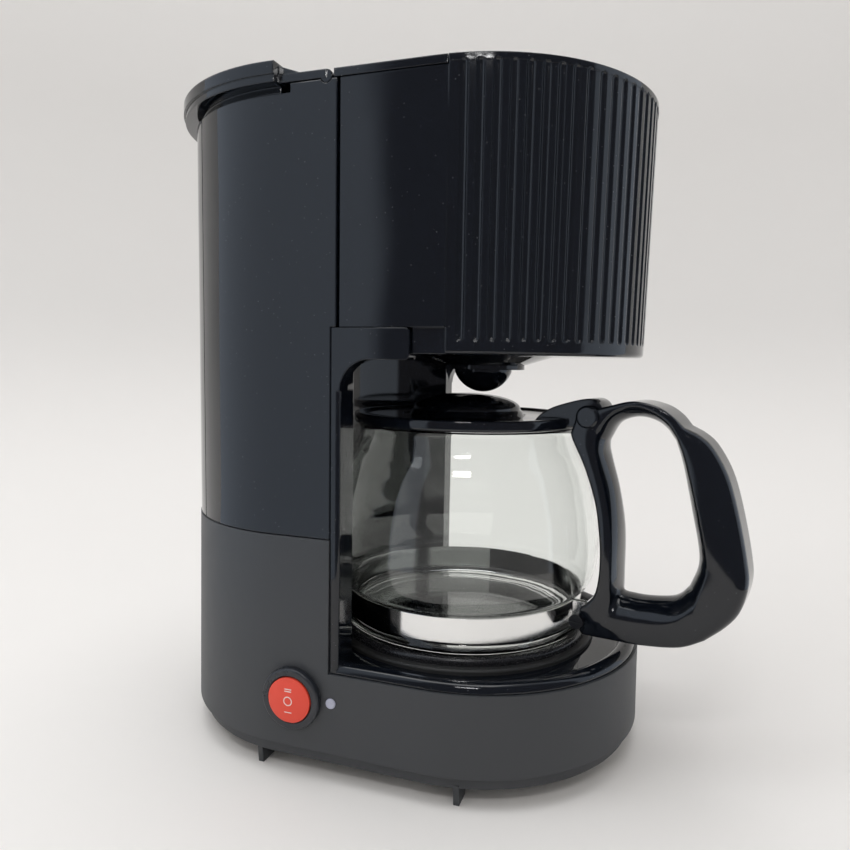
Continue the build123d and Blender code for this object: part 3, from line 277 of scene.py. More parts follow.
finishes["gloss_shell"] = polished_moulding("polished_black_moulding", (0.0035, 0.0048, 0.0078, 1))


# %% [markdown]
# The jug is soda-lime glass, blown in a mould. It is clear with a green cast that only shows
# where the light runs along the wall, so the tint stays weak and the wall's thickness does the
# rest. Blown walls carry faint rings and waves, which a low bump gives.

# %% Clear glass
def clear_glass(name, tint, wave=0.00035):
    finish = Finish(name, Base_Color=tint, Transmission_Weight=1.0, IOR=1.5)
    stretched = finish.node("Mapping", Vector=finish.place(), Scale=(1.0, 1.0, 3.5))
    rings = finish.noise(26.0, 1.5, 0.4, stretched)
    smear = finish.noise(70.0, 3.0)
    roughness = finish.between(smear, -0.02, 0.03)
    return finish.feed(Roughness=roughness, Normal=finish.bump(rings, wave))


finishes["jug_glass"] = clear_glass("blown_jug_glass", (0.972, 0.992, 0.978, 1))


# %% [markdown]
# Metal comes in four finishes here: the polished band round the jug, zinc-plated screws and
# clips, the drawn aluminium of the boiler tube, and the heat-tinted sheath of its element. All
# share one tree. Fine lines along the drawing or rolling direction change the roughness only.

# %% Metals
def worked_metal(name, colour, stained, rough, stretch=(1.0, 1.0, 12.0), edge=0.0003):
    finish = Finish(name, Metallic=1.0)
    rounded = finish.node("Bevel", {"samples": 4}, Radius=edge)
    drawn = finish.node("Mapping", Vector=finish.place(), Scale=stretch)
    lines = finish.noise(500.0, 3.0, 0.6, drawn)
    stain = finish.noise(60.0, 4.0, 0.6)
    shade = finish.blend(finish.between(stain, 0.0, 0.7), colour, stained)
    roughness = finish.between(lines, rough - 0.04, rough + 0.08) + stain * 0.05
    return finish.feed(Base_Color=shade, Roughness=roughness, Normal=finish.bump(lines, 0.00001, 0.6, rounded))


finishes["polished_band"] = worked_metal("polished_band", (0.83, 0.83, 0.82, 1), (0.74, 0.74, 0.73, 1), 0.08)
finishes["steel_small"] = worked_metal("zinc_plate", (0.72, 0.73, 0.75, 1), (0.6, 0.6, 0.58, 1), 0.25)
finishes["bare_aluminium"] = worked_metal("drawn_aluminium", (0.8, 0.8, 0.8, 1), (0.7, 0.7, 0.69, 1), 0.32)
finishes["blackened_steel"] = worked_metal("blackened_steel", (0.06, 0.06, 0.065, 1), (0.03, 0.03, 0.032, 1), 0.35)
finishes["element_sheath"] = worked_metal("heat_tinted_sheath", (0.42, 0.36, 0.3, 1), (0.3, 0.3, 0.36, 1), 0.4)
finishes["tinned_brass"] = worked_metal("tinned_brass", (0.82, 0.72, 0.5, 1), (0.75, 0.72, 0.66, 1), 0.3)


# %% [markdown]
# The hot plate has a black non-stick coating: nearly smooth, with a fine fleck and rings worn
# in by the jug's foot. The rings are a formula on the distance from the jug's axis.

# %% Hot plate coating
def plate_coating(name):
    finish = Finish(name, Specular_IOR_Level=0.5)
    axes = finish.node("SeparateXYZ", Vector=finish.place())
    across = finish.node("SeparateXYZ", Vector=finish.place(), output=1)
    x = axes - jug_axis.x
    y = across - jug_axis.y
    reach = (x * x + y * y).root()
    ring = finish.node("MapRange", {"interpolation_type": "SMOOTHSTEP"}, Value=abs(reach - 0.046),
                       i1=0.0, i2=0.004, i3=1.0, i4=0.0)
    fleck = finish.noise(1800.0, 2.0)
    scuff = finish.noise(90.0, 4.0, 0.7)
    worn = ring * scuff
    shade = finish.blend(worn * 0.5, (0.013, 0.013, 0.015, 1), (0.07, 0.07, 0.075, 1))
    roughness = finish.between(fleck, 0.2, 0.34) + worn * 0.15
    return finish.feed(Base_Color=shade, Roughness=roughness, Normal=finish.bump(fleck, 0.00001))


finishes["plate_coating"] = plate_coating("non_stick_coating")


# %% [markdown]
# Rubber and silicone parts hide inside or under the plate. Both are matt with a dusty bloom,
# and the silicone lets light in below its skin.

# %% Rubber, silicone, woven sleeve and filter net
def soft_rubber(name, colour, bloom, under=0.0):
    finish = Finish(name, Subsurface_Weight=under, Subsurface_Scale=0.002)
    dusty = finish.noise(120.0, 4.0, 0.6)
    skin = finish.noise(1500.0, 2.0)
    shade = finish.blend(dusty * 0.5, colour, bloom)
    roughness = finish.between(dusty, 0.45, 0.7)
    return finish.feed(Base_Color=shade, Roughness=roughness, Normal=finish.bump(skin, 0.00001))


def woven(name, warp_colour, weft_colour, pitch):
    finish = Finish(name, Roughness=0.8)
    first = finish.node("TexWave", {"bands_direction": "DIAGONAL"}, Vector=finish.place(), Scale=1 / pitch)
    turned = finish.node("Mapping", Vector=finish.place(), Rotation=(0.0, 0.0, math.radians(90)))
    second = finish.node("TexWave", {"bands_direction": "DIAGONAL"}, Vector=turned, Scale=1 / pitch)
    over = first.above(second)
    shade = finish.blend(over, warp_colour, weft_colour)
    return finish.feed(Base_Color=shade, Normal=finish.bump(first.either(second), pitch / 6))


finishes["black_rubber"] = soft_rubber("black_rubber", (0.012, 0.012, 0.012, 1), (0.05, 0.05, 0.05, 1))
finishes["clear_rubber"] = soft_rubber("milky_silicone", (0.72, 0.71, 0.67, 1), (0.8, 0.79, 0.76, 1), 0.3)
finishes["fuse_sleeve"] = woven("glass_fibre_sleeve", (0.7, 0.68, 0.6, 1), (0.82, 0.8, 0.74, 1), 0.02)
finishes["filter_net"] = woven("filter_net", (0.3, 0.22, 0.12, 1), (0.42, 0.33, 0.2, 1), 0.01)


# %% [markdown]
# The rocker is satin red with three white printed marks: two short bars, a ring and one bar,
# one above the other. Printing has no thickness worth modelling, so the marks are masks in the
# colour, worked out from the distance to the rocker's middle in the plane of its face.

# %% Red rocker with printed marks
def printed_rocker(name):
    finish = Finish(name, Specular_IOR_Level=0.5)
    rounded = finish.node("Bevel", {"samples": 6}, Radius=0.0006)
    along = finish.node("SeparateXYZ", Vector=finish.place(), output=1) - (rocker_low.y + rocker_high.y) / 2
    up = finish.node("SeparateXYZ", Vector=finish.place(), output=2) - (rocker_low.z + rocker_high.z) / 2
    ring = abs((along * along + up * up).root() - 1.6 * MM).below(0.2 * MM)
    marks = ring
    for height, length in ((3.7, 1.4), (4.5, 1.4), (-4.4, 1.5)):
        bar = abs(up - height * MM).below(0.19 * MM) * abs(along).below(length * MM)
        marks = marks.either(bar)
    rubbed = finish.noise(900.0, 3.0)
    ink = marks * finish.between(rubbed, 0.55, 1.0)
    broad = finish.noise(60.0, 3.0)
    red = finish.blend(broad, (0.66, 0.045, 0.022, 1), (0.78, 0.07, 0.035, 1))
    shade = finish.blend(ink, red, (0.78, 0.77, 0.75, 1))
    roughness = finish.between(finish.noise(1400.0, 2.0), 0.3, 0.42)
    return finish.feed(Base_Color=shade, Roughness=roughness, Normal=rounded)


finishes["red_rocker"] = printed_rocker("printed_red_rocker")
print("finishes:", ", ".join(sorted(finishes)))

# %% [markdown]
# Every piece of the frame now takes the finish of its material slot in the record.

# %% Finishes on the frame's pieces
for part in frame["record"]["subparts"]:
    piece = frame["nodes"][part["node"]]
    piece.data.materials.clear()
    piece.data.materials.append(finishes[part["material_slot"]])
frame["nodes"]["band_screw"].data.materials[0] = finishes["blackened_steel"]
frame["nodes"]["band_nut"].data.materials[0] = finishes["blackened_steel"]
print("pieces with a finish:", len(frame["nodes"]))

# %% [markdown]
# Turned pieces such as the glass come from half a section, spun round an axis. Mesh code keeps
# control of where the rings of faces lie, which a revolved CAD face doesn't.

# %% Turned and smoothed meshes
def finish_mesh(name, shell, sharp=35.0):
    """Turns a bmesh into an object with smooth shading up to an angle."""
    bmesh.ops.remove_doubles(shell, verts=shell.verts, dist=1e-6)
    bmesh.ops.recalc_face_normals(shell, faces=shell.faces)
    mesh = bpy.data.meshes.new(name)
    shell.to_mesh(mesh)
    shell.free()
    mesh.shade_smooth()
    mesh.set_sharp_from_angle(angle=math.radians(sharp))
    piece = bpy.data.objects.new(name, mesh)
    bpy.context.scene.collection.objects.link(piece)
    return piece


def turned(name, profile, steps=96, centre=(0.0, 0.0), reshape=None, sharp=35.0):
    """Turns a profile of (radius, height) points round a vertical axis."""
    shell = bmesh.new()
    rings = []
    for radius, height in profile:
        ring = []
        for step in range(steps):
            angle = 2 * math.pi * step / steps
            reach, rise = reshape(radius, height, angle) if reshape else (radius, height)
            point = (centre[0] + reach * math.cos(angle), centre[1] + reach * math.sin(angle), rise)
            ring.append(shell.verts.new(point))
        rings.append(ring)
    for lower, upper in zip(rings, rings[1:]):
        for step in range(steps):
            after = (step + 1) % steps
            shell.faces.new((lower[step], lower[after], upper[after], upper[step]))
    return finish_mesh(name, shell, sharp)


def smooth_line(points, count):
    """A smooth line through the points, as count points evenly spaced along it."""
    ends = [tuple(2 * p - q for p, q in zip(points[0], points[1]))] + list(points)
    ends.append(tuple(2 * p - q for p, q in zip(points[-1], points[-2])))
    fine = []
    for before, start, end, after in zip(ends, ends[1:], ends[2:], ends[3:]):
        for step in range(24):
            t = step / 24
            fine.append(tuple(0.5 * (2 * b + (c - a) * t + (2 * a - 5 * b + 4 * c - d) * t * t
                                     + (3 * b - a - 3 * c + d) * t ** 3)
                              for a, b, c, d in zip(before, start, end, after)))
    fine.append(tuple(points[-1]))
    reach = [0.0]
    for first, second in zip(fine, fine[1:]):
        reach.append(reach[-1] + math.dist(first, second))
    line = []
    place = 0
    for step in range(count):
        wanted = reach[-1] * step / (count - 1)
        while place < len(reach) - 2 and reach[place + 1] < wanted:
            place += 1
        share = (wanted - reach[place]) / max(reach[place + 1] - reach[place], 1e-12)
        line.append(tuple(a + (b - a) * share for a, b in zip(fine[place], fine[place + 1])))
    return line


def stand_for(piece, node, body, slot):
    """Shows a piece in place of a frame node, with that node's finish."""
    piece.data.materials.append(finishes[slot])
    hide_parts(node)
    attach(piece, body)
    print(piece.name, "stands for", node, "with", len(piece.data.vertices), "points")


# %% [markdown]
# The jug is blown glass of even wall: a thick rounded foot, a waist for the band, a wide
# bulge, a neck and a fire-polished rim. The outside is a smooth line through a few radii, and
# the inside is the same line moved in by the wall. The pouring lip swells the neck on the side
# away from the handle: a bump in the angle that fades out below the rim.

# %% Blown jug
GLASS_WALL = 1.5 * MM
HANDLE_TURN = math.radians(13.0)
POUR_ANGLE = math.radians(90.0) - HANDLE_TURN
POUR_REACH = 7.5 * MM
POUR_DEPTH = 15.0 * MM
rim_z = glass_high.z
foot_z = glass_low.z
jug_tall = rim_z - foot_z
bulge = 58.0 * MM

outer_side = [(bulge - 6.6 * MM, foot_z), (bulge - 5.0 * MM, foot_z + 2.2 * MM),
              (bulge - 7.1 * MM, foot_z + 5.2 * MM), (bulge - 7.2 * MM, foot_z + 13.8 * MM),
              (bulge - 3.0 * MM, foot_z + 18.5 * MM), (bulge, foot_z + 29.0 * MM),
              (bulge - 1.0 * MM, foot_z + 47.0 * MM), (bulge - 5.0 * MM, foot_z + 64.0 * MM),
              (bulge - 10.2 * MM, foot_z + 75.5 * MM), (bulge - 11.8 * MM, rim_z - 3.0 * MM),
              (bulge - 11.2 * MM, rim_z - 0.6 * MM)]
outer_line = smooth_line(outer_side, 90)
inner_line = [(radius - GLASS_WALL, height) for radius, height in outer_line if height > foot_z + 4.6 * MM]
floor_z = foot_z + 2.6 * MM
profile = [(0.0001 * MM, foot_z + 1.2 * MM), (bulge - 24 * MM, foot_z + 1.0 * MM), (bulge - 12 * MM, foot_z + 0.4 * MM)]
profile += outer_line
profile += [(bulge - 11.8 * MM, rim_z), (bulge - 12.5 * MM, rim_z - 0.4 * MM)]
profile += list(reversed(inner_line))
profile += [(bulge - 10.5 * MM, floor_z + 0.7 * MM), (bulge - 14 * MM, floor_z + 0.2 * MM),
            (bulge - 24 * MM, floor_z), (0.0001 * MM, floor_z + 0.4 * MM)]


def pouring_lip(radius, height, angle):
    away = math.atan2(math.sin(angle - POUR_ANGLE), math.cos(angle - POUR_ANGLE))
    up = max(0.0, 1.0 - (rim_z - height) / POUR_DEPTH)
    swell = math.exp(-(away / 0.2) ** 2) * up * up
    pinch = math.exp(-((abs(away) - 0.42) / 0.16) ** 2) * up * up
    return radius + POUR_REACH * swell - 0.8 * MM * pinch, height


jug = turned("blown_jug", profile, 160, jug_axis, pouring_lip)
stand_for(jug, "jug_glass", "jug", "jug_glass")

# %% [markdown]
# The handle is one moulding, drawn in its own plane: outwards from the jug's axis, and up. Its
# outline and its finger opening are each five smooth runs that meet at corners. Across its
# width it is built of slices: the finger opening narrows towards the middle, so its surface
# is crowned, and the outline draws in near both faces by a radius that is large on the grip
# and small on the thin arch. Bridging the two outlines gives the flat side faces.

# %% Jug handle
HANDLE_HALF = 10.0 * MM
RUN_POINTS = (30, 40, 26, 8, 34)
outline_runs = [
    [(53.0, 138.1), (60.0, 140.9), (66.0, 142.7), (74.5, 144.7), (83.0, 143.3), (88.6, 140.1), (92.8, 135.9)],
    [(92.8, 135.9), (97.8, 133.6), (102.6, 129.4), (108.2, 119.7), (112.3, 106.4), (115.8, 90.5), (116.7, 81.5),
     (114.4, 71.8), (109.8, 65.2), (103.5, 59.6)],
    [(103.5, 59.6), (94.5, 55.2), (81.0, 53.0), (70.0, 52.5), (60.0, 52.3), (58.4, 52.6)],
    [(58.4, 52.6), (57.3, 53.9), (57.1, 58.5), (57.3, 62.8), (59.3, 64.6)],
    [(59.3, 64.6), (62.8, 69.0), (64.2, 76.0), (64.4, 84.0), (63.8, 92.3), (61.7, 105.0), (57.0, 118.5),
     (51.2, 130.4), (52.2, 134.4), (53.0, 138.1)],
]
edge_runs = [
    [(61.4, 133.2), (65.9, 139.0), (71.3, 142.2), (77.0, 142.7), (82.0, 141.0), (87.4, 137.4), (91.0, 132.6)],
    [(91.0, 132.6), (94.2, 124.6), (98.9, 107.5), (102.7, 90.8), (103.0, 84.2), (99.6, 71.8)],
    [(99.6, 71.8), (94.0, 66.6), (87.7, 64.1), (79.0, 63.2), (71.5, 63.0)],
    [(71.5, 63.0), (70.0, 63.2), (69.2, 64.0), (69.0, 65.4)],
    [(69.0, 65.4), (68.9, 74.3), (68.7, 87.3), (67.6, 97.8), (64.3, 111.5), (61.3, 122.5), (60.5, 128.2),
     (61.4, 133.2)],
]
crown_runs = [
    [(63.2, 128.2), (66.8, 134.9), (71.2, 137.7), (76.5, 138.6), (82.0, 137.4), (86.0, 134.8), (89.4, 130.4)],
    [(89.4, 130.4), (92.3, 121.3), (96.0, 105.0), (98.6, 93.0), (99.0, 85.5), (96.3, 77.2)],
    [(96.3, 77.2), (93.0, 73.2), (88.8, 71.0), (80.0, 69.6), (73.2, 69.6)],
    [(73.2, 69.6), (71.6, 69.9), (70.7, 70.7), (70.4, 72.2)],
    [(70.4, 72.2), (70.3, 80.0), (70.0, 94.8), (67.7, 109.1), (64.7, 119.0), (63.0, 124.5), (63.2, 128.2)],
]
run_radii = (1.0, 4.2, 1.6, 0.6, 0.9)


def closed_loop(runs):
    """One closed line of points from runs that meet end to end."""
    loop = []
    for points, count in zip(runs, RUN_POINTS):
        loop += smooth_line(points, count)[:-1]
    return [Vector(point) * MM for point in loop]


def inward(loop):
    """The direction into the loop at each of its points."""
    area = sum(a.x * b.y - b.x * a.y for a, b in zip(loop, loop[1:] + loop[:1]))
    turn_sign = 1.0 if area > 0 else -1.0
    normals = []
    for before, after in zip(loop[-1:] + loop[:-1], loop[1:] + loop[:1]):
        along = (after - before).normalized()
        normals.append(Vector((-along.y, along.x)) * turn_sign)
    return normals


outline = closed_loop(outline_runs)
edge_loop = closed_loop(edge_runs)
crown_loop = closed_loop(crown_runs)
radii = []
for radius, count in zip(run_radii, RUN_POINTS):
    radii += [radius * MM] * (count - 1)
for sweep in range(6):
    radii = [(a + 2 * b + c) / 4 for a, b, c in zip(radii[-1:] + radii[:-1], radii, radii[1:] + radii[:1])]
handle_out = Vector((-math.sin(HANDLE_TURN), -math.cos(HANDLE_TURN), 0))
handle_across = Vector((-math.cos(HANDLE_TURN), math.sin(HANDLE_TURN), 0))


def in_handle(out, up, across):
    """A point of the handle's plane in the machine's frame."""
    return jug_axis + handle_out * out + handle_across * across + Vector((0, 0, up))


SLICES = 26
shell = bmesh.new()
outer_rings = []
inner_rings = []
outline_in = inward(outline)
edge_in = inward(edge_loop)
for slice_number in range(SLICES + 1):
    across = HANDLE_HALF * math.sin(math.pi * (slice_number / SLICES - 0.5))
    outer_ring = []
    for point, normal, radius in zip(outline, outline_in, radii):
        over = max(0.0, abs(across) - (HANDLE_HALF - radius))
        drawn = point + normal * (radius - math.sqrt(max(0.0, radius * radius - over * over)))
        outer_ring.append(shell.verts.new(in_handle(drawn.x, drawn.y, across)))
    outer_rings.append(outer_ring)
    share = (abs(across) / HANDLE_HALF) ** 2.4
    over = max(0.0, abs(across) - (HANDLE_HALF - 0.5 * MM))
    soft = 0.5 * MM - math.sqrt(max(0.0, (0.5 * MM) ** 2 - over * over))
    inner_ring = []
    for edge, crown, normal in zip(edge_loop, crown_loop, edge_in):
        point = crown.lerp(edge, share) - normal * soft
        inner_ring.append(shell.verts.new(in_handle(point.x, point.y, across)))
    inner_rings.append(inner_ring)
for rings, flip in ((outer_rings, False), (inner_rings, True)):
    for first, second in zip(rings, rings[1:]):
        for step in range(len(first)):
            after = (step + 1) % len(first)
            corners = (first[step], first[after], second[after], second[step])
            shell.faces.new(tuple(reversed(corners)) if flip else corners)
for end in (0, -1):
    for step in range(len(outline)):
        after = (step + 1) % len(outline)
        shell.faces.new((outer_rings[end][step], outer_rings[end][after],
                         inner_rings[end][after], inner_rings[end][step]))
handle = finish_mesh("loop_handle", shell, 40.0)


def cut_away(piece, cutters):
    """Takes closed cutters out of a piece and removes them."""
    for cutter in cutters:
        step = piece.modifiers.new("cut", "BOOLEAN")
        step.operation = "DIFFERENCE"
        step.solver = "EXACT"
        step.object = cutter
    bpy.context.view_layer.update()
    mesh = bpy.data.meshes.new_from_object(piece.evaluated_get(bpy.context.evaluated_depsgraph_get()))
    piece.modifiers.clear()
    piece.data = mesh
    for cutter in cutters:
        bpy.data.objects.remove(cutter)


def round_bar(name, out, up, radius, half_length, edge=0.3 * MM, steps=40):
    """A bar with softened ends across the handle's plane."""
    bar = bmesh.new()
    rings = []
    for reach, across in ((0.02 * radius, -half_length), (radius - edge, -half_length), (radius, edge - half_length),
                          (radius, half_length - edge), (radius - edge, half_length), (0.02 * radius, half_length)):
        ring = []
        for step in range(steps):
            angle = 2 * math.pi * step / steps
            ring.append(bar.verts.new(in_handle(out + reach * math.cos(angle), up + reach * math.sin(angle), across)))
        rings.append(ring)
    for first, second in zip(rings, rings[1:]):
        for step in range(steps):
            after = (step + 1) % steps
            bar.faces.new((first[step], first[after], second[after], second[step]))
    bar.faces.new(rings[0])
    bar.faces.new(rings[-1])
    return finish_mesh(name, bar)


def block_across(name, out_range, up_range, half_width):
    """A block in the handle's plane."""
    box_shell = bmesh.new()
    corners = [box_shell.verts.new(in_handle(out, up, across)) for out in out_range for up in up_range
               for across in (-half_width, half_width)]
    bmesh.ops.convex_hull(box_shell, input=corners)
    return finish_mesh(name, box_shell)


PIVOT_OUT = 57.8 * MM
PIVOT_UP = 138.0 * MM
LEVER_SLOT = 7.3 * MM
slot_round = round_bar("slot_round", PIVOT_OUT, PIVOT_UP, 5.9 * MM, LEVER_SLOT)
slot_block = block_across("slot_block", (40 * MM, PIVOT_OUT), (PIVOT_UP - 5.5 * MM, 150 * MM), LEVER_SLOT)
cut_away(handle, [slot_round, slot_block])
handle.data.shade_smooth()
handle.data.set_sharp_from_angle(angle=math.radians(40))
stand_for(handle, "jug_handle", "jug", "gloss_shell")

# %% [markdown]
# The jug's lid is a shallow ring that rests on the rim, with a recessed top, a raised dome that
# lifts the drip stop, and a thumb lever that reaches back to the pin in the handle. Ring, top
# and dome are one turned section. The lever, an outline pushed out to both sides with a rounded
# end round the pin and its edges rounded by a Bevel modifier, is joined to them.

# %% Jug lid
RING_RADIUS = 48.8 * MM
lid_low, lid_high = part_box("jug_lid")
ring_low = rim_z + 0.3 * MM
ring_top = ring_low + 4.3 * MM
dome_top = lid_high.z
lid_profile = [(0.02 * MM, ring_top - 2.8 * MM), (44.6 * MM, ring_top - 2.8 * MM), (44.8 * MM, ring_low + 0.6 * MM),
               (45.4 * MM, ring_low), (RING_RADIUS - 1.0 * MM, ring_low), (RING_RADIUS - 0.3 * MM, ring_low + 0.3 * MM),
               (RING_RADIUS, ring_low + 1.0 * MM), (RING_RADIUS, ring_top - 1.0 * MM),
               (RING_RADIUS - 0.3 * MM, ring_top - 0.3 * MM), (RING_RADIUS - 1.0 * MM, ring_top),
               (RING_RADIUS - 2.6 * MM, ring_top), (RING_RADIUS - 3.2 * MM, ring_top - 0.3 * MM),
               (RING_RADIUS - 3.6 * MM, ring_top - 1.0 * MM), (RING_RADIUS - 4.4 * MM, ring_top - 1.3 * MM),
               (27.0 * MM, ring_top - 1.3 * MM), (25.2 * MM, ring_top - 1.1 * MM), (24.6 * MM, ring_top - 0.4 * MM),
               (24.0 * MM, ring_top + 0.9 * MM), (23.2 * MM, ring_top + 1.5 * MM)]
dome_start = ring_top + 1.5 * MM
for step in range(1, 15):
    share = step / 14
    lid_profile.append((23.2 * MM * math.cos(share * math.pi / 2) + 0.02 * MM,
                        dome_start + (dome_top - dome_start - 0.1 * MM) * math.sin(share * math.pi / 2) ** 0.9))
lid_top = turned("lid_ring_and_dome", lid_profile, 128, jug_axis)

LEVER_HALF = 7.0 * MM
lever_line = [(33.5, 133.6), (36.2, 136.9), (38.6, 138.9), (42.6, 141.0), (48.5, 143.0), (54.8, 144.6), (58.4, 144.7),
              (60.8, 143.6), (62.2, 141.6), (62.6, 139.2), (62.2, 136.6), (60.6, 134.4), (57.8, 133.3), (53.0, 133.4),
              (45.0, 133.2), (38.0, 133.2)]
lever_shell = bmesh.new()
sides = []
for across in (-LEVER_HALF, LEVER_HALF):
    sides.append([lever_shell.verts.new(in_handle(out * MM, up * MM, across))
                  for out, up in smooth_line(lever_line + lever_line[:1], 72)[:-1]])
for step in range(len(sides[0])):
    after = (step + 1) % len(sides[0])
    lever_shell.faces.new((sides[0][step], sides[0][after], sides[1][after], sides[1][step]))
for side in sides:
    lever_shell.faces.new(side)
lever = finish_mesh("thumb_lever", lever_shell, 50.0)
softening = lever.modifiers.new("softened edges", "BEVEL")
softening.width = 0.8 * MM
softening.segments = 4
softening.limit_method = "ANGLE"
softening.angle_limit = math.radians(50)


def join_pieces(name, pieces):
    """Applies the pieces' modifiers and joins them into one object."""
    bpy.context.view_layer.update()
    graph = bpy.context.evaluated_depsgraph_get()
    joined = bmesh.new()
    for piece in pieces:
        mesh = bpy.data.meshes.new_from_object(piece.evaluated_get(graph))
        joined.from_mesh(mesh)
        bpy.data.meshes.remove(mesh)
    for piece in pieces:
        bpy.data.objects.remove(piece)
    mesh = bpy.data.meshes.new(name)
    joined.to_mesh(mesh)
    joined.free()
    mesh.shade_smooth()
    mesh.set_sharp_from_angle(angle=math.radians(40))
    piece = bpy.data.objects.new(name, mesh)
    bpy.context.scene.collection.objects.link(piece)
    return piece


lid = join_pieces("jug_lid_with_lever", [lid_top, lever])
stand_for(lid, "jug_lid", "jug", "gloss_shell")

# %% [markdown]
# Round bosses on both cheeks of the handle cover the ends of the pin.

# %% Pivot bosses
for side in (-1, 1):
    boss = round_bar("boss", PIVOT_OUT, PIVOT_UP, 4.4 * MM, 1.6 * MM, 0.7 * MM)
    boss.location = handle_across * side * (HANDLE_HALF - 0.2 * MM)
    boss.name = "pivot_boss_left" if side > 0 else "pivot_boss_right"
    boss.data.transform(boss.matrix_basis)
    boss.location = (0, 0, 0)
    boss.data.materials.append(finishes["gloss_shell"])
    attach(boss, "jug")

# %% [markdown]
# A small coil spring round the drip stop's stem pushes the stop down and is pressed flat when
# the jug lifts it.

# %% Drip stop spring
WIRE_RADIUS = 0.4 * MM
COIL_TURNS = 2
spring_low, spring_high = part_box("valve_spring")
spring_middle = (spring_low + spring_high) / 2
coil_radius = (spring_high.x - spring_low.x) / 2 - WIRE_RADIUS
coil_height = spring_high.z - spring_low.z - 2 * WIRE_RADIUS


def coil_spring(name, turn_steps=36, wire_steps=10):
    wire = bmesh.new()
    rings = []
    for step in range(COIL_TURNS * turn_steps + 1):
        turn = 2 * math.pi * step / turn_steps
        outward = Vector((math.cos(turn), math.sin(turn), 0))
        rise = spring_low.z + WIRE_RADIUS + coil_height * step / (COIL_TURNS * turn_steps)
        ring = []
        for side in range(wire_steps):
            angle = 2 * math.pi * side / wire_steps
            point = outward * (coil_radius + WIRE_RADIUS * math.cos(angle))
            ring.append(wire.verts.new((spring_middle.x + point.x, spring_middle.y + point.y,
                                        rise + WIRE_RADIUS * math.sin(angle))))
        rings.append(ring)
    for first, second in zip(rings, rings[1:]):
        for side in range(wire_steps):
            after = (side + 1) % wire_steps
            wire.faces.new((first[side], first[after], second[after], second[side]))
    wire.faces.new(rings[0])
    wire.faces.new(rings[-1])
    return finish_mesh(name, wire)


spring = coil_spring("drip_stop_spring")
stand_for(spring, "valve_spring", "drip_stop", "steel_small")
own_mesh(spring)
print("spring turns:", COIL_TURNS, "radius:", round(coil_radius / MM, 1), "mm")

# %% [markdown]
# The studio is a round bowl of pale paper: a flat floor that curves up into a wall, so there
# is no horizon line. Broad, soft lamps hang over it, and the paper's colour darkens up the
# wall as painted shade. Polished black shows only what it mirrors, so a wide glowing card,
# seen in reflections alone, stands in front of the machine and runs in along the floor. It is
# a painted reflection, not a flag: it lights nothing and casts no shadow.

# %% Studio
FLOOR_RADIUS = 0.30
SWEEP_RADIUS = 0.50
WALL_HEIGHT = 1.5


def paper(name, colour):
    finish = Finish(name, Specular_IOR_Level=0.2)
    fibre = finish.noise(700.0, 3.0)
    cloud = finish.noise(3.0, 2.0)
    sheet = finish.blend(cloud, colour, tuple(c * 0.98 for c in colour[:3]) + (1,))
    rise = finish.node("SeparateXYZ", Vector=finish.place(), output=2)
    # Painted shade: the paper's colour darkens to 0.8 of itself over the first 0.24 m of rise, standing in for the
    # light that falls off up the wall.
    painted_height_shade = finish.node("MapRange", {"interpolation_type": "SMOOTHSTEP"}, Value=rise, i1=0.0, i2=0.24, i3=0.0, i4=1.0)
    shade = finish.blend(painted_height_shade, sheet, tuple(c * 0.8 for c in colour[:3]) + (1,))
    return finish.feed(Base_Color=shade, Roughness=finish.between(fibre, 0.75, 0.9))


sweep_profile = [(0.0001, 0.0), (FLOOR_RADIUS, 0.0)]
for step in range(1, 25):
    angle = math.radians(90 * step / 24)
    sweep_profile.append((FLOOR_RADIUS + SWEEP_RADIUS * math.sin(angle), SWEEP_RADIUS * (1 - math.cos(angle))))
sweep_profile.append((FLOOR_RADIUS + SWEEP_RADIUS, WALL_HEIGHT))
backdrop = turned("paper_sweep", sweep_profile)
backdrop.data.materials.append(paper("pale_paper", (0.87, 0.85, 0.83, 1)))


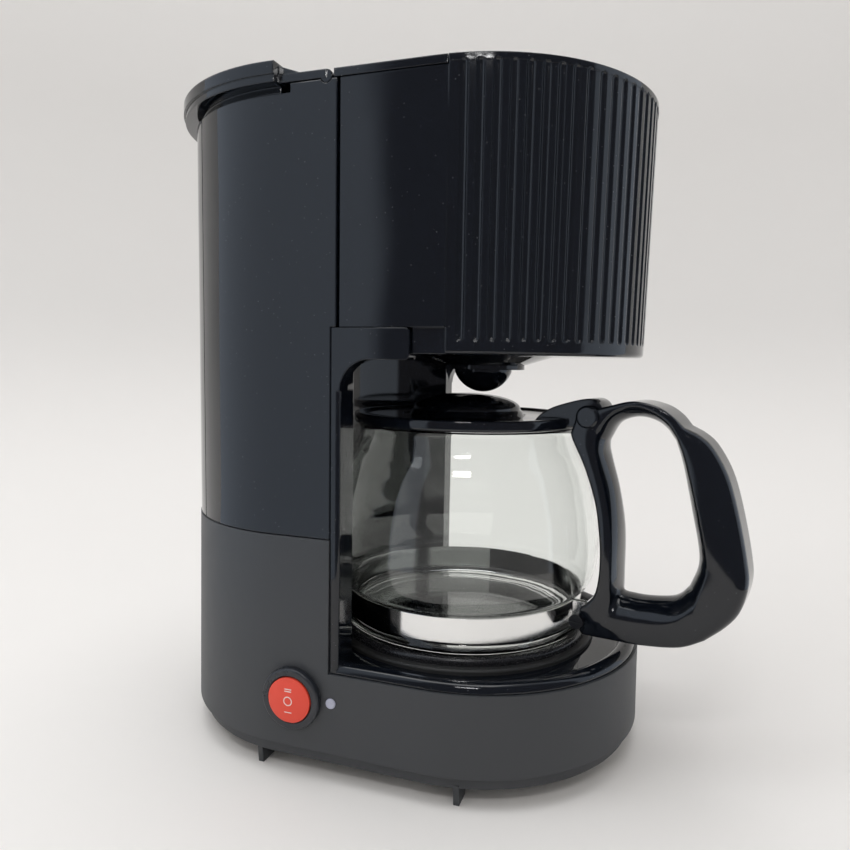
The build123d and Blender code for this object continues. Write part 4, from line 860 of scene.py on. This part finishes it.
def painted_reflection_card(name, radius, span, shade_span, height, bright, dark, fade):
    """A curved glowing card that only reflections see, a painted reflection: dark in the middle, brighter at both
    sides.
    """
    shell = bmesh.new()
    steps = 60
    # The card runs in along the floor and then up, so the floor's reflections are painted with its glow as well.
    columns = []
    for step in range(steps + 1):
        angle = math.radians(span[0] + (span[1] - span[0]) * step / steps)
        columns.append([shell.verts.new((reach * math.cos(angle), reach * math.sin(angle), z))
                        for reach, z in ((FLOOR_RADIUS, 0.004), (radius, 0.03), (radius, height))])
    for left, right in zip(columns, columns[1:]):
        for row in (0, 1):
            shell.faces.new((left[row], right[row], right[row + 1], left[row + 1]))
    card = finish_mesh(name, shell)
    # The card's emission is a painted reflection: its glow lights nothing, casts no shadow and shows only in
    # reflections.
    finish = Finish(name, Base_Color=(0, 0, 0, 1), Roughness=1.0, Specular_IOR_Level=0.0, Emission_Strength=1.0)
    across = finish.node("SeparateXYZ", Vector=finish.place(), output=0)
    along = finish.node("SeparateXYZ", Vector=finish.place(), output=1)
    angle = along.math("ARCTAN2", along, across) * (180 / math.pi)
    turned_angle = angle.math("WRAP", angle, 360.0, 0.0)
    middle = (shade_span[0] + shade_span[1]) / 2
    half = (shade_span[1] - shade_span[0]) / 2
    side = finish.node("MapRange", {"interpolation_type": "SMOOTHSTEP"}, Value=abs(turned_angle - middle),
                       i1=half, i2=half + fade, i3=0.0, i4=1.0)
    glow = finish.blend(side, dark, bright)
    card.data.materials.append(finish.feed(Emission_Color=glow))
    card.visible_camera = False
    card.visible_diffuse = False
    card.visible_transmission = False
    card.visible_shadow = False
    return card


# The card's glow paints the reflections on the polished black: dim across the front, brighter towards both sides.
painted_reflection_card("painted_reflection_glow", 0.46, (100.0, 302.0), (161.0, 260.0), 0.9, (0.76, 0.85, 0.98, 1),
              (0.15, 0.15, 0.17, 1), 4.0)


def soft_lamp(name, place, aim, size, power, colour=(1.0, 1.0, 1.0), seen=True):
    data = bpy.data.lights.new(name, "AREA")
    data.shape = "RECTANGLE"
    data.size, data.size_y = size
    data.energy = power
    data.color = colour
    lamp = bpy.data.objects.new(name, data)
    lamp.location = place
    lamp.rotation_mode = "QUATERNION"
    lamp.rotation_quaternion = (Vector(aim) - Vector(place)).to_track_quat("-Z", "Y")
    lamp.visible_camera = seen
    bpy.context.scene.collection.objects.link(lamp)
    return lamp


soft_lamp("overhead_softbox", (0.0, 0.1, 1.3), (0, 0, 0.1), (0.9, 0.9), 6.0, (1.0, 0.995, 0.98))
soft_lamp("left_softbox", (-0.45, 0.5, 0.8), (0, 0, 0.12), (0.4, 0.6), 1.6, (0.93, 0.97, 1.0))
for number, rise in enumerate((0.385, 0.412)):
    tube = (-0.375, -0.085, rise)
    soft_lamp(f"tube_lamp_{number}", tube, (-0.05, -0.02, 0.118), (0.11, 0.008), 0.14, (1.0, 1.0, 1.0), False)

world = bpy.data.worlds.new("room")
world.use_nodes = True
world.node_tree.nodes["Background"].inputs["Color"].default_value = (0.9, 0.94, 1.0, 1)
world.node_tree.nodes["Background"].inputs["Strength"].default_value = 0.75
bpy.context.scene.world = world
print("studio: floor", FLOOR_RADIUS, "m to the start of the curve")
